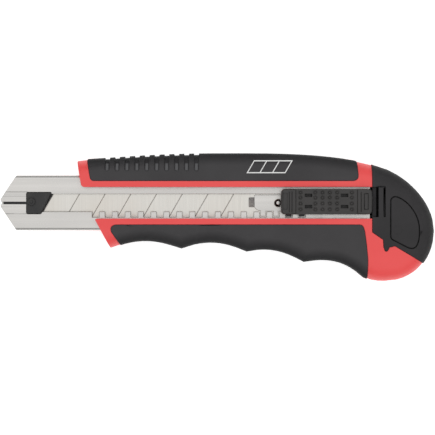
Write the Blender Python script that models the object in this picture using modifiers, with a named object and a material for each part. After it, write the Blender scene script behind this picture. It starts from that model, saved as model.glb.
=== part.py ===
"""Snap off knife with an 18 mm blade, a steel channel and an overmoulded handle.

The tool lies on its back: +X runs from the nose to the butt, +Y to the spine
and +Z up through the slider. Lengths below are measured from the nose tip in X,
from the middle of the channel in Y and from the back face in Z. The frame
empty then moves the whole tool so that the origin is under its middle.
"""

import math

import bmesh
import bpy
from mathutils import Matrix

MM = 0.001

# Gaps between neighbours
GAP = 0.3 * MM
FACE_GAP = 0.1 * MM
SEAM_GAP = 0.15 * MM

# Blade
BLADE_LENGTH = 100.0 * MM
BLADE_WIDTH = 18.0 * MM
BLADE_THICKNESS = 0.5 * MM
BLADE_TIP_X = 13.3 * MM
BLADE_GRIND = 1.8 * MM
SEGMENT_PITCH = 10.0 * MM
SEGMENT_COUNT = 8
SCORE_WIDTH = 0.3 * MM
SCORE_DEPTH = 0.15 * MM
SNAP_ANGLE = math.radians(30.0)
TAIL_HOLE_RADIUS = 2.3 * MM
TAIL_HOLE_INSET = 5.4 * MM
SPARE_BLADES = 3

# Channel, a rolled C section with its lips up
SHEET = 0.8 * MM
CHANNEL_SIDE_ROOM = 0.95 * MM
CHANNEL_BEND = 1.6 * MM
NOSE_SLOPE = 6.4 * MM
NOSE_TIP_HALF = 1.45 * MM
NOSE_SLIT_HALF = 0.35 * MM
PLUG_SETBACK = 1.0 * MM
WINDOW_START = 10.1 * MM
WINDOW_HALF = 3.45 * MM
NOTCH_PITCH = 5.0 * MM
NOTCH_WIDTH = 2.75 * MM
NOTCH_DEPTH = 2.2 * MM
FIRST_NOTCH_X = 37.0 * MM

# Nose guide, the plastic key at the front of the window
GUIDE_HALF = 4.15 * MM
GUIDE_PROUD = 0.6 * MM
GUIDE_FLANGE = 1.6 * MM
GUIDE_BOSS_RADIUS = 1.7 * MM
GUIDE_BOSS_X = 12.0 * MM
GUIDE_BOSS_Y = 0.4 * MM
GUIDE_BOSS_PROUD = 0.25 * MM
GUIDE_SETBACK = 0.5 * MM

# Magazine spring
SPRING_SHEET = 0.35 * MM
SPRING_RISE = 1.4 * MM
SPRING_WIDTH = 8.0 * MM
SPRING_START = 30.0 * MM
SPRING_LENGTH = 72.0 * MM
SPRING_WAVES = 3

# Slider and its carrier
SLIDER_LENGTH = 35.2 * MM
SLIDER_TOP_Y = 5.4 * MM
SLIDER_LOW_Y = -4.5 * MM
SLIDER_PROUD = 2.0 * MM
SLIDER_EDGE = 0.7 * MM
SLIDER_BOW = 0.5 * MM
DISH_MARGIN = 5.4 * MM
DISH_DEPTH = 0.6 * MM
DISH_SLOPE = 1.6 * MM
CARRIER_SHEET = 0.6 * MM
CARRIER_REACH = 10.2 * MM
CARRIER_NOSE = 2.3 * MM
CARRIER_SIDE_ROOM = 0.7 * MM
TAB_LENGTH = 2.3 * MM
TAB_SHEET = 0.6 * MM
TAB_ROOM = 0.3 * MM
TAB_ROWS = (2.85 * MM, -1.5 * MM)
TAB_INSETS = (10.6 * MM, 24.5 * MM)
PIN_AHEAD = 0.9 * MM
PIN_NUB_RADIUS = 0.9 * MM
PIN_WAIST_RADIUS = 1.3 * MM
PIN_HOLE_RADIUS = 1.9 * MM
TAB_DROP = 3.6 * MM
TOOTH_HALF = 1.0 * MM
RATCHET_STRIP = 0.8 * MM
RATCHET_SHEET = 0.55 * MM
RATCHET_TEETH = 2
RATCHET_TAIL = 10.0 * MM

# Handle
HANDLE_THICKNESS = 17.4 * MM
BACK_WALL = 5.9 * MM
POCKET_ROOM = 0.15 * MM
SLOT_HALF = 6.1 * MM
EDGE_ROUND = 7.0 * MM
RED_INSET = 0.35 * MM
SKIN = 2.0 * MM
HANDLE_FRONT_X = 29.9 * MM
FRONT_LIMIT = 10.0 * MM
THUMB_REST_X = 41.0 * MM
SPINE_CROWN_X = 76.0 * MM
SPINE_END_X = 95.0 * MM
GUARD_X = 42.9 * MM
FINGER_PITCHES = (27.4 * MM, 25.3 * MM, 22.2 * MM, 23.2 * MM)
SPINE_RISE = 8.55 * MM
BUTT_DROP = 20.0 * MM
CAP_LENGTH = 24.4 * MM
RIB_START_X = 41.6 * MM
RIB_PITCH = 3.84 * MM
RIB_COUNT = 10
RIB_WIDTH = 1.9 * MM
RIB_DEPTH = 0.7 * MM
STRIP_WIDTH = 2.35 * MM

# Rear cap
TONGUE_LENGTH = 8.0 * MM
TONGUE_WIDTH = 16.0 * MM
TONGUE_THICKNESS = 2.1 * MM
TONGUE_LIFT = 2.2 * MM
KEY_LENGTH = 7.0 * MM
KEY_WIDTH = 4.0 * MM
KEY_HEIGHT = 7.0 * MM
CAP_WALL = 3.0 * MM
CAP_FLOOR = 4.7 * MM
CAVITY_HEIGHT = 5.4 * MM
CAVITY_LENGTH = 15.0 * MM
CATCH_GAP = 2.5 * MM
CATCH_BAR = 2.4 * MM
CATCH_GROOVE = 0.6 * MM
CATCH_DEPTH = 4.2 * MM
CATCH_SHELF_DEPTH = 1.8 * MM
CATCH_SLOT = 0.75 * MM
CATCH_GROOVE_DEPTH = 1.2 * MM
CATCH_LOW_Y = -5.5 * MM
PAD_DEPTH = 1.4 * MM

# Channel screws, driven from the back
SCREW_HEAD_RADIUS = 2.5 * MM
SCREW_HEAD_HEIGHT = 1.7 * MM
SCREW_SHANK_RADIUS = 1.2 * MM
SCREW_RECESS = 0.9 * MM
DRIVE_WIDTH = 1.0 * MM
DRIVE_REACH = 3.2 * MM
DRIVE_DEPTH = 0.9 * MM
FRONT_SCREW_X = 48.0 * MM
REAR_SCREW_INSET = 14.0 * MM

# Heights of the stack inside the channel
CHANNEL_Z = BACK_WALL + FACE_GAP
SPRING_Z = CHANNEL_Z + SHEET + FACE_GAP
MAGAZINE_Z = SPRING_Z + SPRING_RISE + FACE_GAP
BLADE_STEP = BLADE_THICKNESS + FACE_GAP
BLADE_Z = MAGAZINE_Z + SPARE_BLADES * BLADE_STEP
CARRIER_Z = BLADE_Z + BLADE_STEP
LIP_Z = CARRIER_Z + CARRIER_SHEET + FACE_GAP
LIP_TOP = LIP_Z + SHEET
SLIDER_Z = LIP_TOP + FACE_GAP
POCKET_TOP = LIP_TOP + POCKET_ROOM

# Widths and stations that follow from the blade
CHANNEL_INNER_HALF = BLADE_WIDTH / 2 + CHANNEL_SIDE_ROOM
CHANNEL_HALF = CHANNEL_INNER_HALF + SHEET
POCKET_HALF = CHANNEL_HALF + POCKET_ROOM
BLADE_SLANT = math.tan(SNAP_ANGLE)
BLADE_TAIL_X = BLADE_TIP_X + BLADE_LENGTH
PIN_X = BLADE_TAIL_X - TAIL_HOLE_INSET
SLIDER_FRONT_X = PIN_X + PIN_AHEAD
SLIDER_REAR_X = SLIDER_FRONT_X + SLIDER_LENGTH
CHANNEL_END_X = SLIDER_REAR_X - 0.5 * MM
SEAM_X = SLIDER_REAR_X + 0.1 * MM
SPINE_Y = CHANNEL_HALF + SPINE_RISE
BUTT_Y = -CHANNEL_HALF - BUTT_DROP

RED = (0.83, 0.075, 0.075)
BLACK_RUBBER = (0.052, 0.05, 0.052)
BLACK_PLASTIC = (0.03, 0.028, 0.028)
STEEL = (0.6, 0.57, 0.54)
BLADE_STEEL = (0.66, 0.65, 0.63)
SPRING_STEEL = (0.35, 0.34, 0.33)


# ---------------------------------------------------------------- helpers

def clear_scene():
    for item in list(bpy.data.objects):
        bpy.data.objects.remove(item, do_unlink=True)


def new_collection(name):
    collection = bpy.data.collections.new(name)
    bpy.context.scene.collection.children.link(collection)
    return collection


def new_empty(name, location, parent=None):
    empty = bpy.data.objects.new(name, None)
    empty.empty_display_size = 10 * MM
    empty.location = location
    empty.parent = parent
    PARTS.objects.link(empty)
    return empty


def material(name, colour, roughness, metallic=0.0):
    made = bpy.data.materials.new(name)
    made.use_nodes = True
    shader = made.node_tree.nodes["Principled BSDF"]
    shader.inputs["Base Color"].default_value = (*colour, 1.0)
    shader.inputs["Roughness"].default_value = roughness
    shader.inputs["Metallic"].default_value = metallic
    made.diffuse_color = (*colour, 1.0)
    return made


def finish(piece, look, carrier=None):
    """Give a piece its material and hang it on the frame or on a moving empty."""
    piece.data.materials.clear()
    piece.data.materials.append(look)
    if carrier is not None:
        piece.parent = carrier
        piece.location -= carrier.location
    return piece


def as_cutter(piece):
    """Move an object to the cutters, which the model itself leaves out."""
    PARTS.objects.unlink(piece)
    CUTTERS.objects.link(piece)
    piece.hide_render = True
    piece.display_type = "WIRE"
    return piece


def solid(name, build, location=(0, 0, 0)):
    """A new object on the frame whose mesh is made by a bmesh function."""
    mesh = bpy.data.meshes.new(name)
    shape = bmesh.new()
    build(shape)
    bmesh.ops.recalc_face_normals(shape, faces=shape.faces)
    shape.to_mesh(mesh)
    shape.free()
    piece = bpy.data.objects.new(name, mesh)
    piece.location = location
    piece.parent = FRAME
    PARTS.objects.link(piece)
    return piece


def box(name, low, high):
    """A box between two opposite corners."""
    size = [top - bottom for bottom, top in zip(low, high)]
    centre = [(top + bottom) / 2 for bottom, top in zip(low, high)]
    return solid(name, lambda shape: bmesh.ops.create_cube(
        shape, size=1.0, matrix=Matrix.Diagonal((*size, 1.0))), centre)


def disc(name, x, y, radius, low, high, sides=32):
    """An upright cylinder from low to high."""
    return solid(name, lambda shape: bmesh.ops.create_cone(
        shape, cap_ends=True, segments=sides, radius1=radius, radius2=radius,
        depth=high - low), (x, y, (low + high) / 2))


AXIS_TURNS = {
    "X": Matrix(((0, 0, 1), (1, 0, 0), (0, 1, 0))).to_4x4(),
    "Y": Matrix(((1, 0, 0), (0, 0, -1), (0, 1, 0))).to_4x4(),
    "Z": Matrix.Identity(4),
}


def prism(name, outline, low, high, axis="Z"):
    """A closed flat outline extruded from low to high along one axis."""
    curve = bpy.data.curves.new(name, "CURVE")
    curve.dimensions = "2D"
    curve.fill_mode = "BOTH"
    curve.extrude = (high - low) / 2
    spline = curve.splines.new("POLY")
    spline.points.add(len(outline) - 1)
    for point, (across, along) in zip(spline.points, outline):
        point.co = (across, along, 0, 1)
    spline.use_cyclic_u = True
    flat = bpy.data.objects.new(name + "_outline", curve)
    PARTS.objects.link(flat)
    view = bpy.context.evaluated_depsgraph_get()
    mesh = bpy.data.meshes.new_from_object(flat.evaluated_get(view))
    bpy.data.objects.remove(flat)
    mesh.name = name
    mesh.transform(AXIS_TURNS[axis])
    shape = bmesh.new()
    shape.from_mesh(mesh)
    bmesh.ops.remove_doubles(shape, verts=shape.verts, dist=0.001 * MM)
    bmesh.ops.dissolve_limit(shape, angle_limit=math.radians(0.05),
                             verts=shape.verts, edges=shape.edges)
    bmesh.ops.recalc_face_normals(shape, faces=shape.faces)
    shape.to_mesh(mesh)
    shape.free()
    piece = bpy.data.objects.new(name, mesh)
    middle = (low + high) / 2
    piece.location = [middle if letter == axis else 0.0 for letter in "XYZ"]
    piece.parent = FRAME
    PARTS.objects.link(piece)
    return piece


def turned(name, profile, x, y, sides=32):
    """A solid of revolution about an upright axis; the profile runs top to bottom."""
    mesh = bpy.data.meshes.new(name)
    shape = bmesh.new()
    points = [shape.verts.new((radius, 0, height)) for radius, height in profile]
    for first, second in zip(points, points[1:]):
        shape.edges.new((first, second))
    shape.to_mesh(mesh)
    shape.free()
    piece = bpy.data.objects.new(name, mesh)
    piece.location = (x, y, 0)
    piece.parent = FRAME
    PARTS.objects.link(piece)
    screw = piece.modifiers.new("turn", "SCREW")
    screw.steps = sides
    screw.render_steps = sides
    screw.use_merge_vertices = True
    screw.merge_threshold = 0.00001
    return piece


def combine(piece, other, operation):
    change = piece.modifiers.new(operation.lower(), "BOOLEAN")
    change.operation = operation
    change.solver = "EXACT"
    change.object = other
    return piece


def cut(piece, *cutters):
    for cutter in cutters:
        combine(piece, as_cutter(cutter), "DIFFERENCE")
    return piece


def join(piece, *others):
    for other in others:
        combine(piece, as_cutter(other), "UNION")
    return piece


def keep(piece, region):
    return combine(piece, as_cutter(region), "INTERSECT")


def one_cutter(pieces):
    """Several separate cutters held in the mesh of the first one."""
    first = pieces[0]
    shape = bmesh.new()
    for piece in pieces:
        start = len(shape.verts)
        shape.from_mesh(piece.data)
        shape.verts.ensure_lookup_table()
        bmesh.ops.transform(shape, matrix=piece.matrix_basis, verts=shape.verts[start:])
    shape.to_mesh(first.data)
    shape.free()
    first.matrix_basis = Matrix.Identity(4)
    for piece in pieces[1:]:
        bpy.data.objects.remove(piece)
    return first


def round_rims(piece, width, segments, angle=60.0):
    """Round the edges that turn by more than an angle."""
    rim = piece.modifiers.new("rims", "BEVEL")
    rim.width = width
    rim.segments = segments
    rim.limit_method = "ANGLE"
    rim.angle_limit = math.radians(angle)
    rim.use_clamp_overlap = False
    return piece


def baked(piece):
    """The mesh of a piece as its modifiers leave it."""
    view = bpy.context.evaluated_depsgraph_get()
    return bpy.data.meshes.new_from_object(piece.evaluated_get(view))


def bezier(start, start_pull, end_pull, end, steps):
    """Points of one cubic arc, without its first point."""
    points = []
    for step in range(1, steps + 1):
        t = step / steps
        s = 1 - t
        points.append(tuple(
            s ** 3 * a + 3 * s * s * t * b + 3 * s * t * t * c + t ** 3 * d
            for a, b, c, d in zip(start, start_pull, end_pull, end)))
    return points


def shifted(points, dx, dy):
    return [(x + dx, y + dy) for x, y in points]


def inset(points, distance):
    """The outline moved inwards by a distance, or outwards by a negative one."""
    area = sum(a[0] * b[1] - b[0] * a[1] for a, b in zip(points, points[1:] + points[:1]))
    turn = 1.0 if area > 0 else -1.0
    moved = []
    for before, here, after in zip(points[-1:] + points[:-1], points, points[1:] + points[:1]):
        one = (here[0] - before[0], here[1] - before[1])
        two = (after[0] - here[0], after[1] - here[1])
        one_length = math.hypot(*one)
        two_length = math.hypot(*two)
        normal = (-one[1] / one_length - two[1] / two_length,
                  one[0] / one_length + two[0] / two_length)
        size = math.hypot(*normal)
        reach = turn * distance / (size / 2) / size
        moved.append((here[0] + normal[0] * reach, here[1] + normal[1] * reach))
    return moved


def rounded(corners, radii, steps=4):
    """A polygon whose corners are replaced by arcs; a radius of 0 keeps a corner."""
    points = []
    count = len(corners)
    for index, (corner, radius) in enumerate(zip(corners, radii)):
        if radius == 0:
            points.append(corner)
            continue
        before = corners[index - 1]
        after = corners[(index + 1) % count]
        back = (before[0] - corner[0], before[1] - corner[1])
        ahead = (after[0] - corner[0], after[1] - corner[1])
        back_length = math.hypot(*back)
        ahead_length = math.hypot(*ahead)
        dot = (back[0] * ahead[0] + back[1] * ahead[1]) / (back_length * ahead_length)
        half = math.acos(max(-1.0, min(1.0, dot))) / 2
        run = min(radius / math.tan(half), 0.48 * back_length, 0.48 * ahead_length)
        pull = run * (1 - 4 / 3 * math.tan((math.pi / 2 - half) / 2) * math.tan(half))
        start = tuple(c + d / back_length * run for c, d in zip(corner, back))
        end = tuple(c + d / ahead_length * run for c, d in zip(corner, ahead))
        start_pull = tuple(c + d / back_length * pull for c, d in zip(corner, back))
        end_pull = tuple(c + d / ahead_length * pull for c, d in zip(corner, ahead))
        points.append(start)
        points += bezier(start, start_pull, end_pull, end, steps)
    return points


# ---------------------------------------------------------------- outlines

def upper(offset):
    """A Y station above the channel."""
    return CHANNEL_HALF + offset * MM


def lower(offset):
    """A Y station below the channel."""
    return -CHANNEL_HALF - offset * MM


def from_seam(offset):
    """An X station measured from the seam of the rear cap."""
    return SEAM_X + offset * MM


def butt_arc():
    """The rear of the tool, from the spine round the butt to the last finger cusp."""
    shoulder = (from_seam(6.4), upper(2.15))
    rear = (SEAM_X + CAP_LENGTH, lower(0.15))
    heel = (from_seam(5.4), BUTT_Y)
    cusp = (GUARD_X + sum(FINGER_PITCHES), lower(18.3))
    points = bezier((SPINE_END_X, SPINE_Y), (SPINE_END_X + 20 * MM, SPINE_Y),
                    (from_seam(-7.6), upper(7.75)), shoulder, 8)
    points += bezier(shoulder, (from_seam(15.4), upper(-1.85)),
                     (rear[0], upper(-11.25)), rear, 8)
    points += bezier(rear, (rear[0], lower(10.25)), (from_seam(17.4), BUTT_Y), heel, 8)
    points += bezier(heel, (heel[0] - 3.5 * MM, BUTT_Y), (cusp[0] + 2 * MM, cusp[1] - 0.85 * MM),
                     cusp, 3)
    return points


def finger_grooves():
    """Four finger grooves along the belly, from the last cusp forward to the guard."""
    cusp_drops = (6.75, 7.05, 8.25, 12.25, 18.3)
    rear_pulls = ((-6.8, 2.0), (-6.1, 2.6), (-5.3, 2.8), (-5.5, 5.05))
    front_pulls = ((13.1, 5.3), (11.7, 4.5), (10.4, 2.4), (11.7, 2.2))
    points = []
    x = GUARD_X + sum(FINGER_PITCHES)
    for index in reversed(range(len(FINGER_PITCHES))):
        rear = (x, lower(cusp_drops[index + 1]))
        x -= FINGER_PITCHES[index]
        front = (x, lower(cusp_drops[index]))
        rear_pull = [end + pull * MM for end, pull in zip(rear, rear_pulls[index])]
        front_pull = [end + pull * MM for end, pull in zip(front, front_pulls[index])]
        points += bezier(rear, rear_pull, front_pull, front, 7)
    return points


def handle_outline():
    """The outside of the whole handle, seen from above; it runs on past the front end."""
    points = [(FRONT_LIMIT, upper(2.9)), (HANDLE_FRONT_X + 3.8 * MM, upper(5.95)),
              (THUMB_REST_X, upper(6.55)), (SPINE_CROWN_X, SPINE_Y - 0.1 * MM), (SPINE_END_X, SPINE_Y)]
    points += butt_arc()
    points += finger_grooves()
    points.append((FRONT_LIMIT, lower(20.0)))
    return points


def front_end():
    """Everything behind the slanted front faces of the handle."""
    far = from_seam(60)
    top = SPINE_Y + 10 * MM
    low = BUTT_Y - 10 * MM
    return [(HANDLE_FRONT_X - 2.4 * MM, top), (HANDLE_FRONT_X, upper(5.45)),
            (HANDLE_FRONT_X + 1.9 * MM, SLOT_HALF), (HANDLE_FRONT_X + 6.9 * MM, -SLOT_HALF),
            (GUARD_X, lower(6.75)), (GUARD_X + 12.4 * MM, low), (far, low), (far, top)]


def upper_grip_region():
    high = SPINE_Y + 10 * MM
    low = SLOT_HALF + STRIP_WIDTH
    rear = SEAM_X - 5.3 * MM
    front = HANDLE_FRONT_X + 5.1 * MM
    corners = [(front - 2.0 * MM, high), (front - 1.3 * MM, low + 8.2 * MM), (front, low),
               (rear, low), (rear - 0.5 * MM, high)]
    return rounded(corners, (0, 0, 1.5 * MM, 1.7 * MM, 0))


def lower_grip_region():
    high = -SLOT_HALF - STRIP_WIDTH
    low = BUTT_Y - 10 * MM
    front = GUARD_X + 0.1 * MM
    rear = SEAM_X - 2.9 * MM
    corners = [(front, high), (rear, high), (rear + 0.9 * MM, high - 8.2 * MM),
               (rear + 1.3 * MM, high - 13.7 * MM), (rear + 1.0 * MM, low),
               (front + 4.6 * MM, low), (front + 4.2 * MM, high - 8.9 * MM),
               (front - 0.6 * MM, high - 3.2 * MM)]
    return rounded(corners, (2.2 * MM, 1.7 * MM, 0, 0, 0, 0, 1.0 * MM, 1.2 * MM))


def snap_arm_outline():
    """The springy arm with the nub that locks the rear cap."""
    return [(from_seam(x), lower(drop)) for x, drop in (
        (4.35, 3.75), (7.5, 3.6), (12.0, 6.25), (8.9, 6.0), (6.6, 6.45),
        (6.0, 7.6), (5.5, 8.0), (4.95, 7.8), (4.4, 6.5))]


def cap_region():
    """The rear cap's outline inside the handle; it runs past the outside of the handle."""
    return [(SEAM_X, SPINE_Y + 10 * MM), (SEAM_X, lower(0.65)), (from_seam(4.2), lower(3.55)),
            (from_seam(4.35), lower(6.35)), (from_seam(4.9), lower(7.9)),
            (from_seam(5.5), lower(8.15)), (from_seam(6.1), lower(7.7)),
            (from_seam(6.7), lower(6.5)), (from_seam(8.8), lower(6.05)),
            (from_seam(19.9), lower(12.65)), (from_seam(60), lower(36.5)),
            (from_seam(60), SPINE_Y + 10 * MM)]


def pad_outline():
    """The D shaped thumb pad on the face of the rear cap."""
    return [(from_seam(x), upper(rise)) for x, rise in (
        (6.9, -9.65), (9.1, -8.45), (13.4, -11.0), (16.9, -15.2), (18.1, -20.0), (18.1, -23.35),
        (16.9, -27.05), (14.9, -28.2), (12.6, -27.5), (7.5, -24.65), (6.9, -24.1))]


# ---------------------------------------------------------------- blades

def blade_plan():
    """The blade seen from above: slanted front, square tail, edge towards -Y."""
    half = BLADE_WIDTH / 2
    return [(BLADE_TIP_X, -half), (BLADE_TAIL_X, -half), (BLADE_TAIL_X, half),
            (BLADE_TIP_X + BLADE_WIDTH * BLADE_SLANT, half)]


def blade_mesh():
    """One snap off blade, its back face at Z = 0."""
    half = BLADE_WIDTH / 2
    section = [(half, 0), (half, BLADE_THICKNESS), (BLADE_GRIND - half, BLADE_THICKNESS),
               (-half, BLADE_THICKNESS / 2), (BLADE_GRIND - half, 0)]
    blade = prism("blade_blank", section, 0, BLADE_TAIL_X + 10 * MM, "X")
    keep(blade, prism("blade_plan", blade_plan(), -1 * MM, 1 * MM))
    hole = disc("tail_hole", PIN_X, 0, TAIL_HOLE_RADIUS, -1 * MM, 1 * MM)
    scores = []
    for number in range(1, SEGMENT_COUNT):
        start = BLADE_TIP_X + number * SEGMENT_PITCH
        ends = [(start - 2 * MM * BLADE_SLANT, -half - 2 * MM),
                (start + (BLADE_WIDTH + 2 * MM) * BLADE_SLANT, half + 2 * MM)]
        line = ends + shifted(ends[::-1], SCORE_WIDTH, 0)
        scores.append(prism("score", line, BLADE_THICKNESS - SCORE_DEPTH, 1 * MM))
    cut(blade, hole, one_cutter(scores))
    mesh = baked(blade)
    mesh.name = "snap_blade"
    mesh.transform(blade.matrix_basis)
    bpy.data.objects.remove(blade)
    return mesh


def add_blade(name, mesh, z, carrier=None):
    blade = bpy.data.objects.new(name, mesh.copy())
    blade.location = (0, 0, z)
    blade.parent = FRAME
    PARTS.objects.link(blade)
    return finish(blade, LOOKS["blade"], carrier)


# ---------------------------------------------------------------- channel

def channel_section():
    """The C section: floor down, walls, and two lips that the window parts later."""
    low, high, half = CHANNEL_Z, LIP_TOP, CHANNEL_HALF
    return rounded([(-half, low), (half, low), (half, high), (-half, high)], [CHANNEL_BEND] * 4)


def channel_plan():
    """The channel from above: a blunt arrow, wider than the sheet until its section trims it."""
    wide = CHANNEL_HALF + 1 * MM
    return rounded([(0, NOSE_TIP_HALF), (NOSE_SLOPE, wide), (CHANNEL_END_X, wide),
                    (CHANNEL_END_X, -wide), (NOSE_SLOPE, -wide), (0, -NOSE_TIP_HALF)],
                   [0.5 * MM, 0.8 * MM, 0, 0, 0.8 * MM, 0.5 * MM], 2)


def channel_hollow():
    low, high, half = CHANNEL_Z + SHEET, LIP_Z, CHANNEL_INNER_HALF
    outline = rounded([(-half, low), (half, low), (half, high), (-half, high)],
                      [CHANNEL_BEND - SHEET] * 4)
    return prism("channel_hollow", outline, -5 * MM, CHANNEL_END_X + 5 * MM, "X")


def notch_stations():
    """The middles of the ratchet notches, every pitch up to the slider's own teeth."""
    count = int((PIN_X + 20 * MM - FIRST_NOTCH_X) / NOTCH_PITCH)
    return [FIRST_NOTCH_X + number * NOTCH_PITCH for number in range(count)]


def build_channel():
    channel = prism("blade_channel", channel_section(), -1 * MM, CHANNEL_END_X + 1 * MM, "X")
    keep(channel, prism("channel_plan", channel_plan(), 0, HANDLE_THICKNESS))
    low, high = LIP_Z - 0.4 * MM, LIP_TOP + 1 * MM
    slit = box("nose_slit", (-1 * MM, -NOSE_SLIT_HALF, low),
               (WINDOW_START + 1 * MM, NOSE_SLIT_HALF, high))
    window = box("window", (WINDOW_START + 2 * MM, -WINDOW_HALF, low),
                 (CHANNEL_END_X + 1 * MM, WINDOW_HALF, high))
    seat = prism("guide_seat", inset(guide_plan(), -SEAM_GAP), low, high)
    notches = one_cutter([
        box("notch", (x - NOTCH_WIDTH / 2, -WINDOW_HALF - NOTCH_DEPTH, low),
            (x + NOTCH_WIDTH / 2, -WINDOW_HALF + 1 * MM, high)) for x in notch_stations()])
    holes = one_cutter([
        disc("channel_hole", x, 0, SCREW_SHANK_RADIUS + GAP, 0, CHANNEL_Z + SHEET + FACE_GAP / 2)
        for x in screw_stations()])
    cut(channel, channel_hollow(), slit, window, seat, notches, holes)
    return finish(channel, LOOKS["steel"])


def guide_corners(half):
    """Corners of the nose guide, as wide as given; its rear face follows the blade's front."""
    rear = BLADE_TIP_X + BLADE_WIDTH / 2 * BLADE_SLANT - GUIDE_SETBACK
    return [(WINDOW_START, half), (rear + half * BLADE_SLANT, half),
            (rear - half * BLADE_SLANT, -half), (WINDOW_START, -half)]


def guide_plan():
    return rounded(guide_corners(GUIDE_HALF), [0.4 * MM] * 4, 2)


def build_nose_guide():
    top = LIP_TOP + GUIDE_PROUD
    guide = prism("nose_guide", guide_plan(), CARRIER_Z, top)
    flange = prism("guide_flange", guide_corners(GUIDE_HALF + GUIDE_FLANGE), CARRIER_Z,
                   LIP_Z - FACE_GAP)
    boss = disc("guide_boss", GUIDE_BOSS_X, GUIDE_BOSS_Y, GUIDE_BOSS_RADIUS, LIP_TOP,
                top + GUIDE_BOSS_PROUD, 24)
    join(guide, flange, boss)
    return finish(guide, LOOKS["plastic"])


def build_blade_stop():
    """The plug in the nose; the spare blades' slanted fronts rest against it."""
    half = CHANNEL_INNER_HALF - CHANNEL_BEND + SHEET - GAP
    reach = BLADE_TIP_X + BLADE_WIDTH / 2 * BLADE_SLANT - GAP / math.cos(SNAP_ANGLE)
    slope = (CHANNEL_HALF + 1 * MM - NOSE_TIP_HALF) / NOSE_SLOPE
    front = PLUG_SETBACK + (half - NOSE_TIP_HALF) / slope
    tip = (PLUG_SETBACK, NOSE_TIP_HALF - 0.5 * MM)
    outline = [tip, (front, half), (reach + half * BLADE_SLANT, half),
               (reach - half * BLADE_SLANT, -half), (front, -half), (tip[0], -tip[1])]
    stop = prism("spare_blade_stop", outline, SPRING_Z, BLADE_Z - FACE_GAP)
    return finish(stop, LOOKS["plastic"])


def build_magazine_spring():
    """A waved leaf that lifts the spare blades towards the carrier."""
    steps = 8 * SPRING_WAVES
    swing = (SPRING_RISE - SPRING_SHEET) / 2
    lower_edge = []
    for step in range(steps + 1):
        x = SPRING_START + SPRING_LENGTH * step / steps
        turn = 2 * math.pi * SPRING_WAVES * step / steps
        lower_edge.append((x, SPRING_Z + swing - swing * math.cos(turn)))
    outline = lower_edge + shifted(lower_edge[::-1], 0, SPRING_SHEET)
    spring = prism("magazine_spring", outline, -SPRING_WIDTH / 2, SPRING_WIDTH / 2, "Y")
    return finish(spring, LOOKS["spring"])


# ---------------------------------------------------------------- slider

def tab_places():
    return [(SLIDER_FRONT_X + along, row) for along in TAB_INSETS for row in TAB_ROWS]


def slider_outline():
    """The slider from above: a long block whose two ends bow outwards."""
    front, rear = SLIDER_FRONT_X, SLIDER_REAR_X
    high, low = SLIDER_TOP_Y, SLIDER_LOW_Y
    corners = [(front + SLIDER_BOW, high), (rear - SLIDER_BOW, high), (rear, (high + low) / 2),
               (rear - SLIDER_BOW, low), (front + SLIDER_BOW, low), (front, (high + low) / 2)]
    return rounded(corners, (1.3 * MM, 1.3 * MM, 9 * MM, 1.3 * MM, 1.3 * MM, 9 * MM), 3)


def build_slider():
    top = HANDLE_THICKNESS + SLIDER_PROUD
    slider = round_rims(prism("slider_button", slider_outline(), SLIDER_Z, top), SLIDER_EDGE, 2)
    neck_half = WINDOW_HALF - GAP
    neck = box("slider_neck", (SLIDER_FRONT_X + 1.5 * MM, -neck_half, CARRIER_Z + CARRIER_SHEET + FACE_GAP),
               (SLIDER_REAR_X - 1.5 * MM, neck_half, SLIDER_Z + 1 * MM))
    join(slider, neck)
    room = TAB_ROOM
    shafts = one_cutter([
        box("tab_shaft", (x - TAB_LENGTH / 2 - room, y - TAB_SHEET / 2 - room, 0),
            (x + TAB_LENGTH / 2 + room, y + TAB_SHEET / 2 + room, top + 1 * MM))
        for x, y in tab_places()])
    ratchet_bay = box("ratchet_bay",
                      (SLIDER_FRONT_X + 1.0 * MM, SLIDER_LOW_Y - 1 * MM, 0),
                      (ratchet_tooth_x(RATCHET_TEETH - 1) + RATCHET_TAIL + GAP,
                       ratchet_inner_y() + GAP, SLIDER_Z + RATCHET_SHEET + GAP))
    front = SLIDER_FRONT_X + DISH_MARGIN
    rear = SLIDER_REAR_X - DISH_MARGIN
    brim = top + 0.01 * MM
    dish = prism("thumb_dish", [
        (front, brim), (rear, brim), (rear - DISH_SLOPE, top - DISH_DEPTH),
        (front + DISH_SLOPE, top - DISH_DEPTH)], SLIDER_LOW_Y - 1 * MM, SLIDER_TOP_Y + 1 * MM, "Y")
    cut(slider, shafts, ratchet_bay, dish)
    return finish(slider, LOOKS["slider"], SLIDER_AXIS)


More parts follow.
